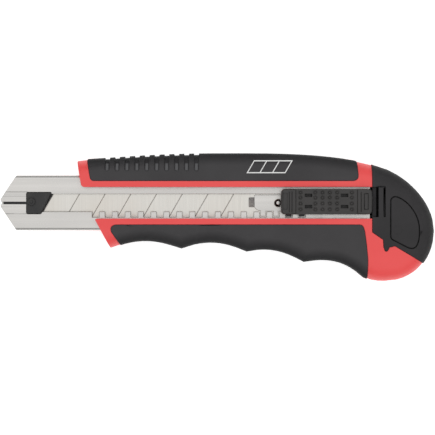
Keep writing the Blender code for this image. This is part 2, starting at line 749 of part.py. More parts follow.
def build_carrier():
    """The steel plate under the lips, with its nose, pin hole and four upright tabs."""
    high = CARRIER_Z + CARRIER_SHEET
    wide = CHANNEL_INNER_HALF - CARRIER_SIDE_ROOM
    narrow = WINDOW_HALF - 0.3 * MM
    front = SLIDER_FRONT_X - CARRIER_REACH
    wing_x = SLIDER_FRONT_X + 3.0 * MM
    rear = SLIDER_REAR_X - 2.0 * MM
    outline = rounded([
        (front, narrow), (wing_x, narrow), (wing_x + 2 * MM, wide), (rear, wide), (rear, -wide),
        (wing_x + 2 * MM, -wide), (wing_x, -narrow), (front + 2.9 * MM, -narrow),
        (front + 0.3 * MM, -narrow + 1.8 * MM)],
        (0.4 * MM, 0, 0.6 * MM, 0.8 * MM, 0.8 * MM, 0.6 * MM, 0, 1.4 * MM, 0.6 * MM), 3)
    carrier = prism("slider_carrier", outline, CARRIER_Z, high)
    nose = box("carrier_nose", (front - CARRIER_NOSE, -1.8 * MM, CARRIER_Z),
               (front + 1 * MM, 2.2 * MM, CARRIER_Z + CARRIER_SHEET / 2))
    tab_top = HANDLE_THICKNESS + SLIDER_PROUD - TAB_DROP
    tabs = [box("carrier_tab", (x - TAB_LENGTH / 2, y - TAB_SHEET / 2, CARRIER_Z + 0.1 * MM),
                (x + TAB_LENGTH / 2, y + TAB_SHEET / 2, tab_top)) for x, y in tab_places()]
    tooth_low = -WINDOW_HALF - NOTCH_DEPTH + 0.4 * MM
    teeth = [box("carrier_tooth", (ratchet_tooth_x(number) - TOOTH_HALF, tooth_low, CARRIER_Z),
                 (ratchet_tooth_x(number) + TOOTH_HALF, 0.5 * MM - narrow, high))
             for number in (-2, -1)]
    join(carrier, nose, one_cutter(tabs), one_cutter(teeth))
    cut(carrier, disc("pin_hole", PIN_X, 0, PIN_HOLE_RADIUS, 0, high + 1 * MM))
    return finish(carrier, LOOKS["steel"], SLIDER_AXIS)


def build_drive_pin():
    """The stepped pin that couples the carrier to the hole in the blade's tail."""
    foot = TAIL_HOLE_RADIUS - GAP
    low = BLADE_Z + 0.05 * MM
    shoulder = BLADE_Z + BLADE_THICKNESS
    waist_top = CARRIER_Z + CARRIER_SHEET
    profile = [(0, LIP_TOP - 0.2 * MM), (PIN_NUB_RADIUS, LIP_TOP - 0.2 * MM),
               (PIN_NUB_RADIUS, waist_top), (PIN_WAIST_RADIUS, waist_top),
               (PIN_WAIST_RADIUS, shoulder), (foot, shoulder), (foot, low), (0, low)]
    return finish(turned("drive_pin", profile, PIN_X, 0, 24), LOOKS["spring"], SLIDER_AXIS)


def ratchet_tooth_x(number):
    """The ratchet's teeth stand in the first notches that the slider covers."""
    first = math.ceil((SLIDER_FRONT_X + 2.0 * MM - FIRST_NOTCH_X) / NOTCH_PITCH)
    return FIRST_NOTCH_X + (first + number) * NOTCH_PITCH


def ratchet_inner_y():
    return -WINDOW_HALF + 0.1 * MM


def build_ratchet():
    """A leaf in the slider's side bay whose teeth drop into the notches."""
    low = SLIDER_Z + 0.05 * MM
    high = SLIDER_Z + RATCHET_SHEET
    inner = ratchet_inner_y()
    half = NOTCH_WIDTH / 2 - 0.25 * MM
    leaf = box("ratchet_spring", (ratchet_tooth_x(0) - half, inner - RATCHET_STRIP, low),
               (ratchet_tooth_x(RATCHET_TEETH - 1) + RATCHET_TAIL, inner, high))
    teeth = [box("ratchet_tooth",
                 (ratchet_tooth_x(number) - half, -WINDOW_HALF - NOTCH_DEPTH + GAP, LIP_Z + 0.1 * MM),
                 (ratchet_tooth_x(number) + half, inner - 0.1 * MM, high - 0.05 * MM))
             for number in range(RATCHET_TEETH)]
    join(leaf, one_cutter(teeth))
    return finish(leaf, LOOKS["plastic"], SLIDER_AXIS)


# ---------------------------------------------------------------- handle

def screw_stations():
    return (FRONT_SCREW_X, SEAM_X - REAR_SCREW_INSET)


def handle_slab(name, margin):
    """A rounded slab, its surface a margin inside the outermost one, too long at the front."""
    outline = inset(handle_outline(), margin)
    slab = prism(name, outline, margin, HANDLE_THICKNESS - margin)
    return round_rims(slab, EDGE_ROUND - margin, 4)


def handle_blank(name, margin):
    """The slab with its slanted front end cut."""
    return keep(handle_slab(name, margin),
                prism(name + "_front", front_end(), -5 * MM, HANDLE_THICKNESS + 5 * MM))


def grip_space(name, region):
    """The room that a grip takes from the moulded body, with a seam gap all round."""
    space = prism(name, inset(region, -SEAM_GAP), -5 * MM, HANDLE_THICKNESS + 5 * MM)
    return cut(space, handle_slab(name + "_core", SKIN + SEAM_GAP))


def channel_space():
    """The pocket for the channel and the slot that its lips and slider look out of."""
    outline = [(-POCKET_HALF, BACK_WALL), (POCKET_HALF, BACK_WALL), (POCKET_HALF, POCKET_TOP),
               (SLOT_HALF, POCKET_TOP), (SLOT_HALF, HANDLE_THICKNESS + 5 * MM),
               (-SLOT_HALF, HANDLE_THICKNESS + 5 * MM), (-SLOT_HALF, POCKET_TOP),
               (-POCKET_HALF, POCKET_TOP)]
    return prism("channel_space", outline, 0, SEAM_X + 1 * MM, "X")


def screw_space():
    """Countersunk rooms for the channel screws."""
    head = SCREW_HEAD_RADIUS + GAP
    shank = SCREW_SHANK_RADIUS + GAP
    floor = SCREW_RECESS + SCREW_HEAD_HEIGHT + GAP
    return [disc("screw_head_room", x, 0, head, -1 * MM, floor) for x in screw_stations()] + [
        disc("screw_shank_room", x, 0, shank, -1 * MM, BACK_WALL + 1 * MM) for x in screw_stations()]


def tongue_box(name, room):
    """The flat tongue of the rear cap, or the room for it in the back wall."""
    half = TONGUE_WIDTH / 2 + room
    return box(name, (SEAM_X - TONGUE_LENGTH - room, -half, TONGUE_LIFT - room),
               (SEAM_X + 1.5 * MM, half, TONGUE_LIFT + TONGUE_THICKNESS + room))


def key_box(name, room):
    """The second guide of the rear cap, below the channel."""
    top = -POCKET_HALF - 2.2 * MM + room
    low = HANDLE_THICKNESS / 2 - KEY_HEIGHT / 2
    return box(name, (SEAM_X - KEY_LENGTH - room, top - KEY_WIDTH - 2 * room, low - room),
               (SEAM_X + 6 * MM, top, low + KEY_HEIGHT + room))


def build_handle_body():
    """The red moulding: back wall and two rails round the channel, with a core in each grip."""
    body = handle_blank("handle_body", RED_INSET)
    cap_room = prism("cap_room", inset(cap_region(), -SEAM_GAP), -5 * MM, HANDLE_THICKNESS + 5 * MM)
    cut(body, grip_space("upper_grip_room", upper_grip_region()),
        grip_space("lower_grip_room", lower_grip_region()), cap_room, channel_space(),
        *screw_space(), tongue_box("tongue_room", SEAM_GAP), key_box("key_room", SEAM_GAP))
    return finish(body, LOOKS["red"])


def rib_cutters():
    """Grooves that cross the spine of the thumb rest and run down both faces."""
    low = upper(1.4)
    ribs = one_cutter([
        box("rib", (x - RIB_WIDTH / 2, low, -1 * MM), (x + RIB_WIDTH / 2, SPINE_Y + 2 * MM,
                                                       HANDLE_THICKNESS + 1 * MM))
        for x in (RIB_START_X + number * RIB_PITCH for number in range(RIB_COUNT))])
    return cut(ribs, handle_slab("rib_core", RIB_DEPTH))


def build_upper_grip():
    grip = handle_blank("upper_grip", 0)
    keep(grip, prism("upper_grip_region", upper_grip_region(), -5 * MM, HANDLE_THICKNESS + 5 * MM))
    cut(grip, handle_slab("upper_grip_core", SKIN), rib_cutters())
    return finish(grip, LOOKS["rubber"])


def build_lower_grip():
    grip = handle_blank("lower_grip", 0)
    keep(grip, prism("lower_grip_region", lower_grip_region(), -5 * MM, HANDLE_THICKNESS + 5 * MM))
    cut(grip, handle_slab("lower_grip_core", SKIN))
    return finish(grip, LOOKS["rubber"])


def build_screw(name, x):
    head_low = SCREW_RECESS
    head_high = head_low + SCREW_HEAD_HEIGHT
    profile = [(0, CHANNEL_Z + SHEET), (SCREW_SHANK_RADIUS, CHANNEL_Z + SHEET),
               (SCREW_SHANK_RADIUS, head_high), (SCREW_HEAD_RADIUS, head_high),
               (SCREW_HEAD_RADIUS, head_low + 0.4 * MM), (SCREW_HEAD_RADIUS - 0.4 * MM, head_low),
               (0, head_low)]
    screw = turned(name, profile, x, 0, 24)
    width = DRIVE_WIDTH / 2
    reach = DRIVE_REACH / 2
    for suffix, across, along in (("long", reach, width), ("cross", width, reach)):
        cut(screw, box(name + "_drive_" + suffix, (x - across, -along, 0),
                       (x + across, along, head_low + DRIVE_DEPTH)))
    return finish(screw, LOOKS["spring"])


# ---------------------------------------------------------------- rear cap

def build_cap():
    """The black cap that closes the butt and holds the channel in."""
    cap = handle_blank("rear_cap", 0)
    keep(cap, prism("cap_region", inset(cap_region(), SEAM_GAP), -5 * MM, HANDLE_THICKNESS + 5 * MM))
    tongue = tongue_box("cap_tongue", -SEAM_GAP)
    key = key_box("cap_key", -SEAM_GAP)
    join(cap, tongue, key)
    cavity_half = CHANNEL_INNER_HALF
    cavity = box("cap_cavity", (SEAM_X - 1 * MM, -cavity_half, CAP_FLOOR),
                 (SEAM_X + CAVITY_LENGTH, cavity_half, CAP_FLOOR + CAVITY_HEIGHT))
    keep(cavity, handle_slab("cap_wall", CAP_WALL))
    face = HANDLE_THICKNESS + 1 * MM
    floor = HANDLE_THICKNESS - CATCH_DEPTH
    bar_start = SEAM_X + CATCH_GAP
    shelf = box("slot_end", (SEAM_X - 1 * MM, CATCH_LOW_Y, HANDLE_THICKNESS - CATCH_SHELF_DEPTH),
                (bar_start, SLOT_HALF, face))
    slot = box("catch_slot", (bar_start - CATCH_SLOT, CATCH_LOW_Y, floor),
               (bar_start, SLOT_HALF, face))
    bar_end = bar_start + CATCH_BAR
    groove = box("catch_groove", (bar_end, CATCH_LOW_Y, HANDLE_THICKNESS - CATCH_GROOVE_DEPTH),
                 (bar_end + CATCH_GROOVE, SLOT_HALF, face))
    pad_bed = prism("pad_bed", inset(pad_outline(), -SEAM_GAP),
                    HANDLE_THICKNESS - PAD_DEPTH - GAP, face)
    arm_room = prism("arm_room", inset(snap_arm_outline(), -2 * SEAM_GAP), -5 * MM, face)
    cut(cap, cavity, shelf, slot, groove, pad_bed, arm_room)
    return finish(cap, LOOKS["cap"], CAP_AXIS)


def build_cap_pad():
    pad = prism("cap_thumb_pad", inset(pad_outline(), SEAM_GAP), HANDLE_THICKNESS - PAD_DEPTH,
                HANDLE_THICKNESS)
    return finish(pad, LOOKS["cap"], CAP_AXIS)


def build_snap_arm():
    arm = prism("cap_snap_arm", snap_arm_outline(), 2 * RED_INSET, HANDLE_THICKNESS - RED_INSET)
    return finish(arm, LOOKS["cap"], CAP_AXIS)


# ---------------------------------------------------------------- assembly

clear_scene()
PARTS = new_collection("snap_off_knife")
CUTTERS = new_collection("cutters")
LOOKS = {
    "red": material("red_plastic", RED, 0.42),
    "rubber": material("black_rubber", BLACK_RUBBER, 0.6),
    "cap": material("black_cap", BLACK_RUBBER, 0.45),
    "plastic": material("black_plastic", BLACK_PLASTIC, 0.3),
    "slider": material("black_slider", BLACK_PLASTIC, 0.4),
    "steel": material("channel_steel", STEEL, 0.3, 1.0),
    "blade": material("blade_steel", BLADE_STEEL, 0.25, 1.0),
    "spring": material("spring_steel", SPRING_STEEL, 0.35, 1.0),
}
MIDDLE_X = (SEAM_X + CAP_LENGTH) / 2
MIDDLE_Y = (SPINE_Y + BUTT_Y + RED_INSET) / 2
FRAME = new_empty("knife_frame", (-MIDDLE_X, -MIDDLE_Y, 0))
SLIDER_AXIS = new_empty("slider_axis", (PIN_X, 0, LIP_TOP), FRAME)
BLADE_AXIS = new_empty("blade_axis", (PIN_X, 0, BLADE_Z), FRAME)
CAP_AXIS = new_empty("cap_axis", (SEAM_X, 0, TONGUE_LIFT), FRAME)


def build_knife():
    build_handle_body()
    build_upper_grip()
    build_lower_grip()
    build_channel()
    build_nose_guide()
    build_blade_stop()
    build_magazine_spring()
    for name, x in zip(("channel_screw_front", "channel_screw_rear"), screw_stations()):
        build_screw(name, x)
    blade = blade_mesh()
    for number in range(SPARE_BLADES):
        add_blade(f"spare_blade_{SPARE_BLADES - number}", blade, MAGAZINE_Z + number * BLADE_STEP)
    add_blade("cutting_blade", blade, BLADE_Z, BLADE_AXIS)
    build_slider()
    build_carrier()
    build_drive_pin()
    build_ratchet()
    build_cap()
    build_cap_pad()
    build_snap_arm()


build_knife()
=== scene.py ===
"""Snap off knife with a steel blade channel and a red handle with black rubber grips."""
import math

import bmesh
import bpy
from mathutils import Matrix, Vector


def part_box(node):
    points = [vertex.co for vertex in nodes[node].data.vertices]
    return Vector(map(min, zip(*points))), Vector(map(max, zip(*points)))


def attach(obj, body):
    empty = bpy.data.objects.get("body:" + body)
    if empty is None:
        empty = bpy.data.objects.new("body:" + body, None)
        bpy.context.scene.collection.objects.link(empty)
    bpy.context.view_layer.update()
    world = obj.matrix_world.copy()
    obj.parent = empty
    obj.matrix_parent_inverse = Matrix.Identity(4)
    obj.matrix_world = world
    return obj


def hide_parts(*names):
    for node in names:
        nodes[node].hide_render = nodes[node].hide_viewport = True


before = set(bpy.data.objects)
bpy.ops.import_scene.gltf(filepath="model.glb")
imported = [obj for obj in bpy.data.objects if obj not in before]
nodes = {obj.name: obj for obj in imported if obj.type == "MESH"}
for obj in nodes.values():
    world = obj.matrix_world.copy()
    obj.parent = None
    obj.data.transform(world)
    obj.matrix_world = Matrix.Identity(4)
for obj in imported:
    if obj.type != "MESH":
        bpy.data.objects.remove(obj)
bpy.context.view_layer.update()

# ---- Studio --------------------------------------------------------------
# A pale glowing floor under the knife, a sky that is brightest overhead and two side lamps.
# The camera looks straight down on the knife through a long lens.

MM = 0.001
FRAME_WIDTH = 168.6 * MM
LENS = 200.0
SENSOR = 36.0
FACE_HEIGHT = 14.0 * MM
FRAME_CENTRE = (0.05 * MM, -0.15 * MM)
LAMP_SIZE = 0.8
SKY_STOPS = ((0.0, 0.08), (0.5, 0.36), (0.8, 0.93), (1.0, 0.97))
SKY_STRENGTH = 1.26
FLOOR_SIZE = 6.0
FLOOR_DROP = 0.1 * MM
FLOOR_GLOW = 0.62

bpy.context.scene.view_settings.view_transform = "Standard"

camera_data = bpy.data.cameras.new("camera")
camera_data.lens = LENS
camera_data.sensor_width = SENSOR
camera_data.clip_start = 0.01
camera_data.clip_end = 20.0
camera = bpy.data.objects.new("camera", camera_data)
camera.location = (*FRAME_CENTRE, FACE_HEIGHT + FRAME_WIDTH * LENS / SENSOR)
bpy.context.scene.collection.objects.link(camera)
bpy.context.scene.camera = camera


def lamp(name, place, power):
    """A square soft lamp turned towards the middle of the floor."""
    light = bpy.data.lights.new(name, "AREA")
    light.size = LAMP_SIZE
    light.energy = power
    made = bpy.data.objects.new(name, light)
    made.location = place
    made.rotation_euler = (-Vector(place)).to_track_quat("-Z", "Y").to_euler()
    bpy.context.scene.collection.objects.link(made)


lamp("spine_lamp", (-0.12, 0.8, 1.1), 0.5)
lamp("belly_lamp", (0.6, -0.7, 0.9), 0.6)

world = bpy.data.worlds.new("studio")
world.use_nodes = True
bpy.context.scene.world = world
sky = world.node_tree.nodes
around = sky.new("ShaderNodeTexCoord")
split = sky.new("ShaderNodeSeparateXYZ")
shade = sky.new("ShaderNodeValToRGB")
for position, level in SKY_STOPS:
    stop = shade.color_ramp.elements.new(position)
    stop.color = (level, level, level, 1.0)
shade.color_ramp.elements.remove(shade.color_ramp.elements[0])
shade.color_ramp.elements.remove(shade.color_ramp.elements[-1])
world.node_tree.links.new(around.outputs["Generated"], split.inputs[0])
world.node_tree.links.new(split.outputs["Z"], shade.inputs[0])
world.node_tree.links.new(shade.outputs[0], sky["Background"].inputs["Color"])
sky["Background"].inputs["Strength"].default_value = SKY_STRENGTH

bpy.ops.mesh.primitive_plane_add(size=FLOOR_SIZE, location=(0, 0, -FLOOR_DROP))
floor = bpy.context.active_object
floor.name = "floor"
paper = bpy.data.materials.new("paper_floor")
paper.use_nodes = True
sheet = paper.node_tree.nodes["Principled BSDF"].inputs
sheet["Base Color"].default_value = (0.88, 0.88, 0.88, 1)
sheet["Roughness"].default_value = 0.9
sheet["Emission Color"].default_value = (1, 1, 1, 1)
sheet["Emission Strength"].default_value = FLOOR_GLOW
floor.data.materials.append(paper)

# ---- Handle body ---------------------------------------------------------
# The red moulding: a back wall and two rails that hold the channel between them.
# Stiff plastic, moulded in one piece, with a sunken core where rubber is moulded over it.

nose_low, nose_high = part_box("blade_channel")
NOSE_X = nose_low.x
AXIS_Y = (nose_low.y + nose_high.y) / 2
FACE_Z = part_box("upper_grip")[1].z
RED_FACE_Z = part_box("handle_body")[1].z
RED_INSET = FACE_Z - RED_FACE_Z
SEAM_X = 144.1
EDGE_ROUND = 7.0 * MM
HAIR_GAP = 0.06 * MM
SLICES = (48, 62, 80, 96, 110, 124, 135, 150, 156)
SKIN = 2.0 * MM
OVERRUN = 5 * MM
CUT_OVER = 1 * MM
TOOL_TOP = 30 * MM
SCREW_ROOM_RADIUS = 2.8 * MM
SCREW_ROOM_TOP = 2.9 * MM
POCKET_HALF = 10.9
POCKET_FLOOR = 5.9 * MM
POCKET_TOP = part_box("blade_channel")[1].z + 0.15 * MM

# The rear cap's two keys, in millimetres: reach ahead of the seam, lower and upper side,
# bottom and top.
CAP_TONGUE = (7.85, -7.85, 7.85, 2.35, 4.15)
CAP_KEY = (6.85, -16.95, -13.25, 5.35, 12.05)
KEY_GAP = 0.3

# The outlines are in millimetres behind the nose and above the channel's axis.
HANDLE_PATH = (
    (10.0, 14.2), (34.2, 17.1), (41.0, 17.5),
    (52.0, 18.3, 64.0, 19.1, 78.0, 19.25), (84.0, 19.3, 90.0, 19.3, 95.0, 19.3),
    (115.0, 19.3, 136.5, 18.5, 150.5, 12.9), (159.5, 8.9, 168.5, -0.5, 168.5, -10.9),
    (168.5, -21.0, 161.5, -30.7, 149.5, -30.7), (146.6, -30.65), (143.8, -30.2), (141.0, -29.1),
    (135.5, -24.0, 129.5, -20.8, 117.8, -23.0), (112.5, -20.2, 106.0, -16.6, 95.6, -19.0),
    (89.5, -16.4, 82.0, -13.3, 70.3, -17.8), (63.5, -15.8, 56.0, -12.4, 42.7, -17.9),
    (10.0, -31.5))

FRONT_PATH = (
    (27.5, 29.0), (29.8, 16.5), (31.7, 6.1), (36.7, -6.1), (42.8, -17.6), (55.3, -40.75),
    (210.0, -60.0), (210.0, 60.0))

SLOT_PATH = (
    (20.0, 7.3), (31.5, 7.3), (31.7, 6.3, 32.2, 6.1, 33.3, 6.1), (147.0, 6.1), (147.0, -6.1),
    (38.2, -6.1), (37.4, -6.1, 37.0, -6.3, 37.0, -6.7), (20.0, -6.7))

UPPER_GRIP_PATH = (
    (33.0, 26.0), (33.7, 16.7), (34.9, 10.2), (35.0, 9.2, 35.4, 8.5, 36.6, 8.45),
    (136.6, 8.45), (138.0, 8.45, 138.85, 9.2, 138.8, 10.7), (138.3, 16.6), (138.3, 26.0))

LOWER_GRIP_PATH = (
    (45.6, -8.45), (139.0, -8.45), (140.4, -8.45, 140.9, -9.3, 141.2, -10.8),
    (141.7, -13.5, 142.2, -18.0, 142.5, -22.0), (142.5, -24.5, 142.4, -27.0, 142.3, -42.0),
    (47.6, -42.0), (47.3, -18.5), (46.4, -16.1), (43.3, -11.4), (42.6, -9.8, 43.2, -8.45, 45.6, -8.45))

CAP_PATH = (
    (144.1, 30.0), (144.1, -11.4), (148.3, -14.3), (148.45, -17.1), (149.0, -18.65),
    (149.6, -18.9), (150.2, -18.45), (150.8, -17.25), (152.9, -16.8), (164.0, -23.4),
    (204.0, -47.2), (204.0, 30.0))


def place(x, y):
    """A point on the floor plan, from millimetres behind the nose and above the channel's axis."""
    return NOSE_X + x * MM, AXIS_Y + y * MM


def trace(path, steps=14, ends=0.0):
    """The plan points of a path; a leg is a corner, or two pulls and an end for a curve.

    A curve is cut into even steps between a first and a last step that may be longer.
    """
    points = []
    stations = [ends + (1 - 2 * ends) * step / steps for step in range(steps + 1)] + [1.0]
    for leg in path:
        if len(leg) == 2:
            points.append(leg)
            continue
        start = points[-1]
        for t in stations:
            s = 1 - t
            point = tuple(s ** 3 * a + 3 * s * s * t * b + 3 * s * t * t * c + t ** 3 * d
                          for a, b, c, d in zip(start, leg[0:2], leg[2:4], leg[4:6]))
            if math.dist(point, points[-1]) > 0.01:
                points.append(point)
    if math.dist(points[0], points[-1]) < 0.01:
        points.pop()
    return [place(*point) for point in points]


def inset(points, distance):
    """The outline moved inwards by a distance, or outwards by a negative one."""
    area = sum(a[0] * b[1] - b[0] * a[1] for a, b in zip(points, points[1:] + points[:1]))
    turn = math.copysign(1.0, area)
    moved = []
    for before, here, after in zip(points[-1:] + points[:-1], points, points[1:] + points[:1]):
        ahead = Vector(after) - Vector(here)
        behind = Vector(here) - Vector(before)
        normal = behind.orthogonal().normalized() + ahead.orthogonal().normalized()
        reach = 2 * turn * distance / normal.length_squared
        moved.append((here[0] + normal.x * reach, here[1] + normal.y * reach))
    return moved


def only(*pieces):
    """Select these objects and nothing else."""
    bpy.ops.object.select_all(action="DESELECT")
    for piece in pieces:
        piece.select_set(True)
    bpy.context.view_layer.objects.active = pieces[0]


def settled(piece):
    """Apply a piece's location and scale to its mesh."""
    only(piece)
    bpy.ops.object.transform_apply()
    return piece


def plate(name, points, low, high):
    """A filled plan outline with a thickness from low to high, as a clean mesh."""
    curve = bpy.data.curves.new(name, "CURVE")
    curve.dimensions = "2D"
    curve.fill_mode = "BOTH"
    curve.extrude = (high - low) / 2
    spline = curve.splines.new("POLY")
    spline.points.add(len(points) - 1)
    for knot, point in zip(spline.points, points):
        knot.co = (*point, 0, 1)
    spline.use_cyclic_u = True
    piece = bpy.data.objects.new(name, curve)
    piece.location.z = (low + high) / 2
    bpy.context.scene.collection.objects.link(piece)
    only(piece)
    bpy.ops.object.convert(target="MESH")
    bpy.ops.object.transform_apply()
    bpy.ops.object.mode_set(mode="EDIT")
    bpy.ops.mesh.select_all(action="SELECT")
    bpy.ops.mesh.remove_doubles(threshold=0.001 * MM)
    bpy.ops.mesh.dissolve_limited(angle_limit=math.radians(0.05))
    bpy.ops.mesh.normals_make_consistent(inside=False)
    bpy.ops.object.mode_set(mode="OBJECT")
    return piece


def block(name, low, high):
    """A cube stretched between two corners."""
    middle = [(a + b) / 2 for a, b in zip(low, high)]
    bpy.ops.mesh.primitive_cube_add(size=1.0, location=middle)
    piece = bpy.context.active_object
    piece.name = name
    piece.scale = [b - a for a, b in zip(low, high)]
    return settled(piece)


def strip(name, x_low, x_high, y_low, y_high, low, high):
    """A block given by its plan stations in millimetres and its heights in metres."""
    return block(name, (*place(x_low, y_low), low), (*place(x_high, y_high), high))


def rod(name, x, y, radius, low, high, sides=48):
    """An upright cylinder at a plan station."""
    bpy.ops.mesh.primitive_cylinder_add(
        vertices=sides, radius=radius, depth=high - low, location=(*place(x, y), (low + high) / 2))
    piece = bpy.context.active_object
    piece.name = name
    return settled(piece)


def joined(pieces):
    """Several meshes held as one object."""
    only(*pieces)
    bpy.ops.object.join()
    return bpy.context.active_object


def carve(piece, tool, operation="DIFFERENCE"):
    """Cut a piece with a tool, keep what they share, or unite them; the tool is used up."""
    change = piece.modifiers.new("carve", "BOOLEAN")
    change.operation = operation
    change.solver = "EXACT"
    change.object = tool
    only(piece)
    bpy.ops.object.modifier_apply(modifier=change.name)
    bpy.data.objects.remove(tool)
    return piece


def round_edges(piece, width, segments, chosen):
    """Bevel the edges that a test picks."""
    only(piece)
    bpy.ops.object.mode_set(mode="EDIT")
    bpy.ops.mesh.select_mode(type="EDGE")
    bpy.ops.mesh.select_all(action="DESELECT")
    shape = bmesh.from_edit_mesh(piece.data)
    for edge in shape.edges:
        if len(edge.link_faces) == 2 and chosen(edge):
            edge.select_set(True)
    bmesh.update_edit_mesh(piece.data)
    bpy.ops.mesh.bevel(offset=width, segments=segments, affect="EDGES", clamp_overlap=False)
    bpy.ops.object.mode_set(mode="OBJECT")
    return piece


def is_rim(edge):
    """Whether an edge lies between a flat face and an upright wall."""
    tilts = sorted(abs(face.normal.z) for face in edge.link_faces)
    return tilts[0] < 0.1 and tilts[1] > 0.9


def is_sharp(edge):
    """Whether the faces on both sides of an edge meet at a steep angle."""
    return edge.calc_face_angle(0.0) > math.radians(50)


def cleaned(piece):
    """Merge the slivers that a cut leaves behind."""
    only(piece)
    bpy.ops.object.mode_set(mode="EDIT")
    bpy.ops.mesh.select_all(action="SELECT")
    bpy.ops.mesh.remove_doubles(threshold=0.015 * MM)
    bpy.ops.mesh.dissolve_limited(angle_limit=math.radians(0.3))
    bpy.ops.object.mode_set(mode="OBJECT")
    return piece


def softened(piece, width, segments=2):
    """Break every sharp edge by a small round, as a mould leaves it."""
    round_edges(cleaned(piece), width, segments, is_sharp)
    bpy.ops.object.mode_set(mode="EDIT")
    bpy.ops.mesh.select_all(action="SELECT")
    bpy.ops.mesh.remove_doubles(threshold=0.28 * width)
    bpy.ops.object.mode_set(mode="OBJECT")
    return piece


def sliced(piece, stations):
    """Divide the long faces at some stations, so that they shade evenly."""
    only(piece)
    bpy.ops.object.mode_set(mode="EDIT")
    for station in stations:
        bpy.ops.mesh.select_all(action="SELECT")
        bpy.ops.mesh.bisect(plane_co=(*place(station, 0), 0), plane_no=(1, 0, 0))
    bpy.ops.object.mode_set(mode="OBJECT")
    return piece


def done(piece, name, body, slot, look, *stands_for, angle=35):
    """Shade a finished piece, give it its material and hang it on its body."""
    piece.name = name
    only(piece)
    bpy.ops.object.shade_smooth_by_angle(angle=math.radians(angle))
    even = piece.modifiers.new("even", "WEIGHTED_NORMAL")
    even.keep_sharp = True
    bpy.ops.object.modifier_apply(modifier=even.name)
    piece.data.materials.clear()
    piece.data.materials.append(look)
    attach(piece, body)
    if stands_for:
        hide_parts(*stands_for)
    return piece


class Wire:
    """A value on a material's wiring; arithmetic on it adds Math nodes."""

    def __init__(self, look, socket):
        self.look = look
        self.socket = socket

    def math(self, operation, first, second=None):
        made = self.look.node("ShaderNodeMath", {"operation": operation}, first, second)
        return Wire(self.look, made.outputs[0])

    def __add__(self, other):
        return self.math("ADD", self, other)

    def __sub__(self, other):
        return self.math("SUBTRACT", self, other)

    def __mul__(self, other):
        return self.math("MULTIPLY", self, other)

    def __mod__(self, other):
        return self.math("FLOORED_MODULO", self, other)

    def __gt__(self, other):
        return self.math("GREATER_THAN", self, other)

    def __lt__(self, other):
        return self.math("LESS_THAN", self, other)

    __radd__ = __add__
    __rmul__ = __mul__


class Look:
    """A material being wired up."""

    def __init__(self, name, colour, roughness, metallic=0.0):
        self.material = bpy.data.materials.new(name)
        self.material.use_nodes = True
        self.tree = self.material.node_tree
        self.shader = self.tree.nodes["Principled BSDF"]
        self.shader.inputs["Base Color"].default_value = (*colour, 1.0)
        self.shader.inputs["Roughness"].default_value = roughness
        self.shader.inputs["Metallic"].default_value = metallic
        self.material.diffuse_color = (*colour, 1.0)
        self.place = self.node("ShaderNodeTexCoord").outputs["Object"]

    def feed(self, socket, value):
        if isinstance(value, Wire):
            value = value.socket
        if isinstance(value, bpy.types.NodeSocket):
            self.tree.links.new(value, socket)
        elif value is not None:
            socket.default_value = value

    def node(self, kind, settings=None, *values, **named):
        made = self.tree.nodes.new(kind)
        for key, setting in (settings or {}).items():
            setattr(made, key, setting)
        for socket, value in zip(made.inputs, values):
            self.feed(socket, value)
        for key, value in named.items():
            self.feed(made.inputs[key.replace("_", " ")], value)
        return made

    def stretched(self, scale):
        """Object coordinates scaled along each axis."""
        return self.node("ShaderNodeMapping", None, Vector=self.place, Scale=scale).outputs[0]

    def noise(self, scale, detail=2.0, stretch=None):
        """Cloudy variation; scale is in repeats per metre."""
        place = self.stretched(stretch) if stretch else self.place
        made = self.node("ShaderNodeTexNoise", None, Vector=place, Scale=scale, Detail=detail)
        return Wire(self, made.outputs["Fac"])

    def cells(self, scale):
        made = self.node("ShaderNodeTexVoronoi", None, Vector=self.place, Scale=scale)
        return Wire(self, made.outputs["Distance"])

    def along(self, axis):
        """The position along one axis, in metres."""
        parts = self.node("ShaderNodeSeparateXYZ", None, self.place)
        return Wire(self, parts.outputs[axis])

    def ramp(self, value, low, high):
        """A value moved from a range to 0..1, clamped."""
        made = self.node("ShaderNodeMapRange", {"clamp": True}, value, low, high, 0.0, 1.0)
        return Wire(self, made.outputs[0])

    def painted_flank_shade(self, low, high):
        """Rises from 0 to 1 with the distance from the handle's middle plane; a mask for painted shade
        on the rounded sides.
        """
        depth = self.along("Z") - FACE_Z / 2
        return self.ramp(depth * depth, low ** 2, high ** 2)

    def blend(self, amount, one, two):
        """A colour between two colours."""
        made = self.node("ShaderNodeMix", {"data_type": "RGBA"})
        self.feed(made.inputs[0], amount)
        self.feed(made.inputs[6], (*one, 1.0) if isinstance(one, tuple) else one)
        self.feed(made.inputs[7], (*two, 1.0) if isinstance(two, tuple) else two)
        return made.outputs[2]

    def colour(self, value):
        self.feed(self.shader.inputs["Base Color"], value)

    def roughness(self, value):
        self.feed(self.shader.inputs["Roughness"], value)

    def gloss(self, level):
        """How strongly the surface mirrors; 0.5 is common plastic."""
        self.shader.inputs["Specular IOR Level"].default_value = level

    def bump(self, height, depth):
        """Raise the surface by a height value times a depth in metres."""
        made = self.node("ShaderNodeBump", None, Strength=1.0, Distance=depth, Height=height)
        self.feed(self.shader.inputs["Normal"], made.outputs[0])


def handle_slab(name, margin):
    """A slab with rounded sides, a margin inside the handle's outermost surface; too long in front."""
    outline = inset(trace(HANDLE_PATH, 10, 1 / 7), margin)
    slab = plate(name, outline, margin, FACE_Z - margin)
    return round_edges(slab, EDGE_ROUND - margin, 10, is_rim)


def through(name, points):
    """A tool that runs right through the handle."""
    return plate(name, points, -OVERRUN, FACE_Z + OVERRUN)


def handle_shell(name, margin):
    """The slab with its slanted front end cut."""
    return carve(handle_slab(name, margin), through("front_end", trace(FRONT_PATH)), "INTERSECT")


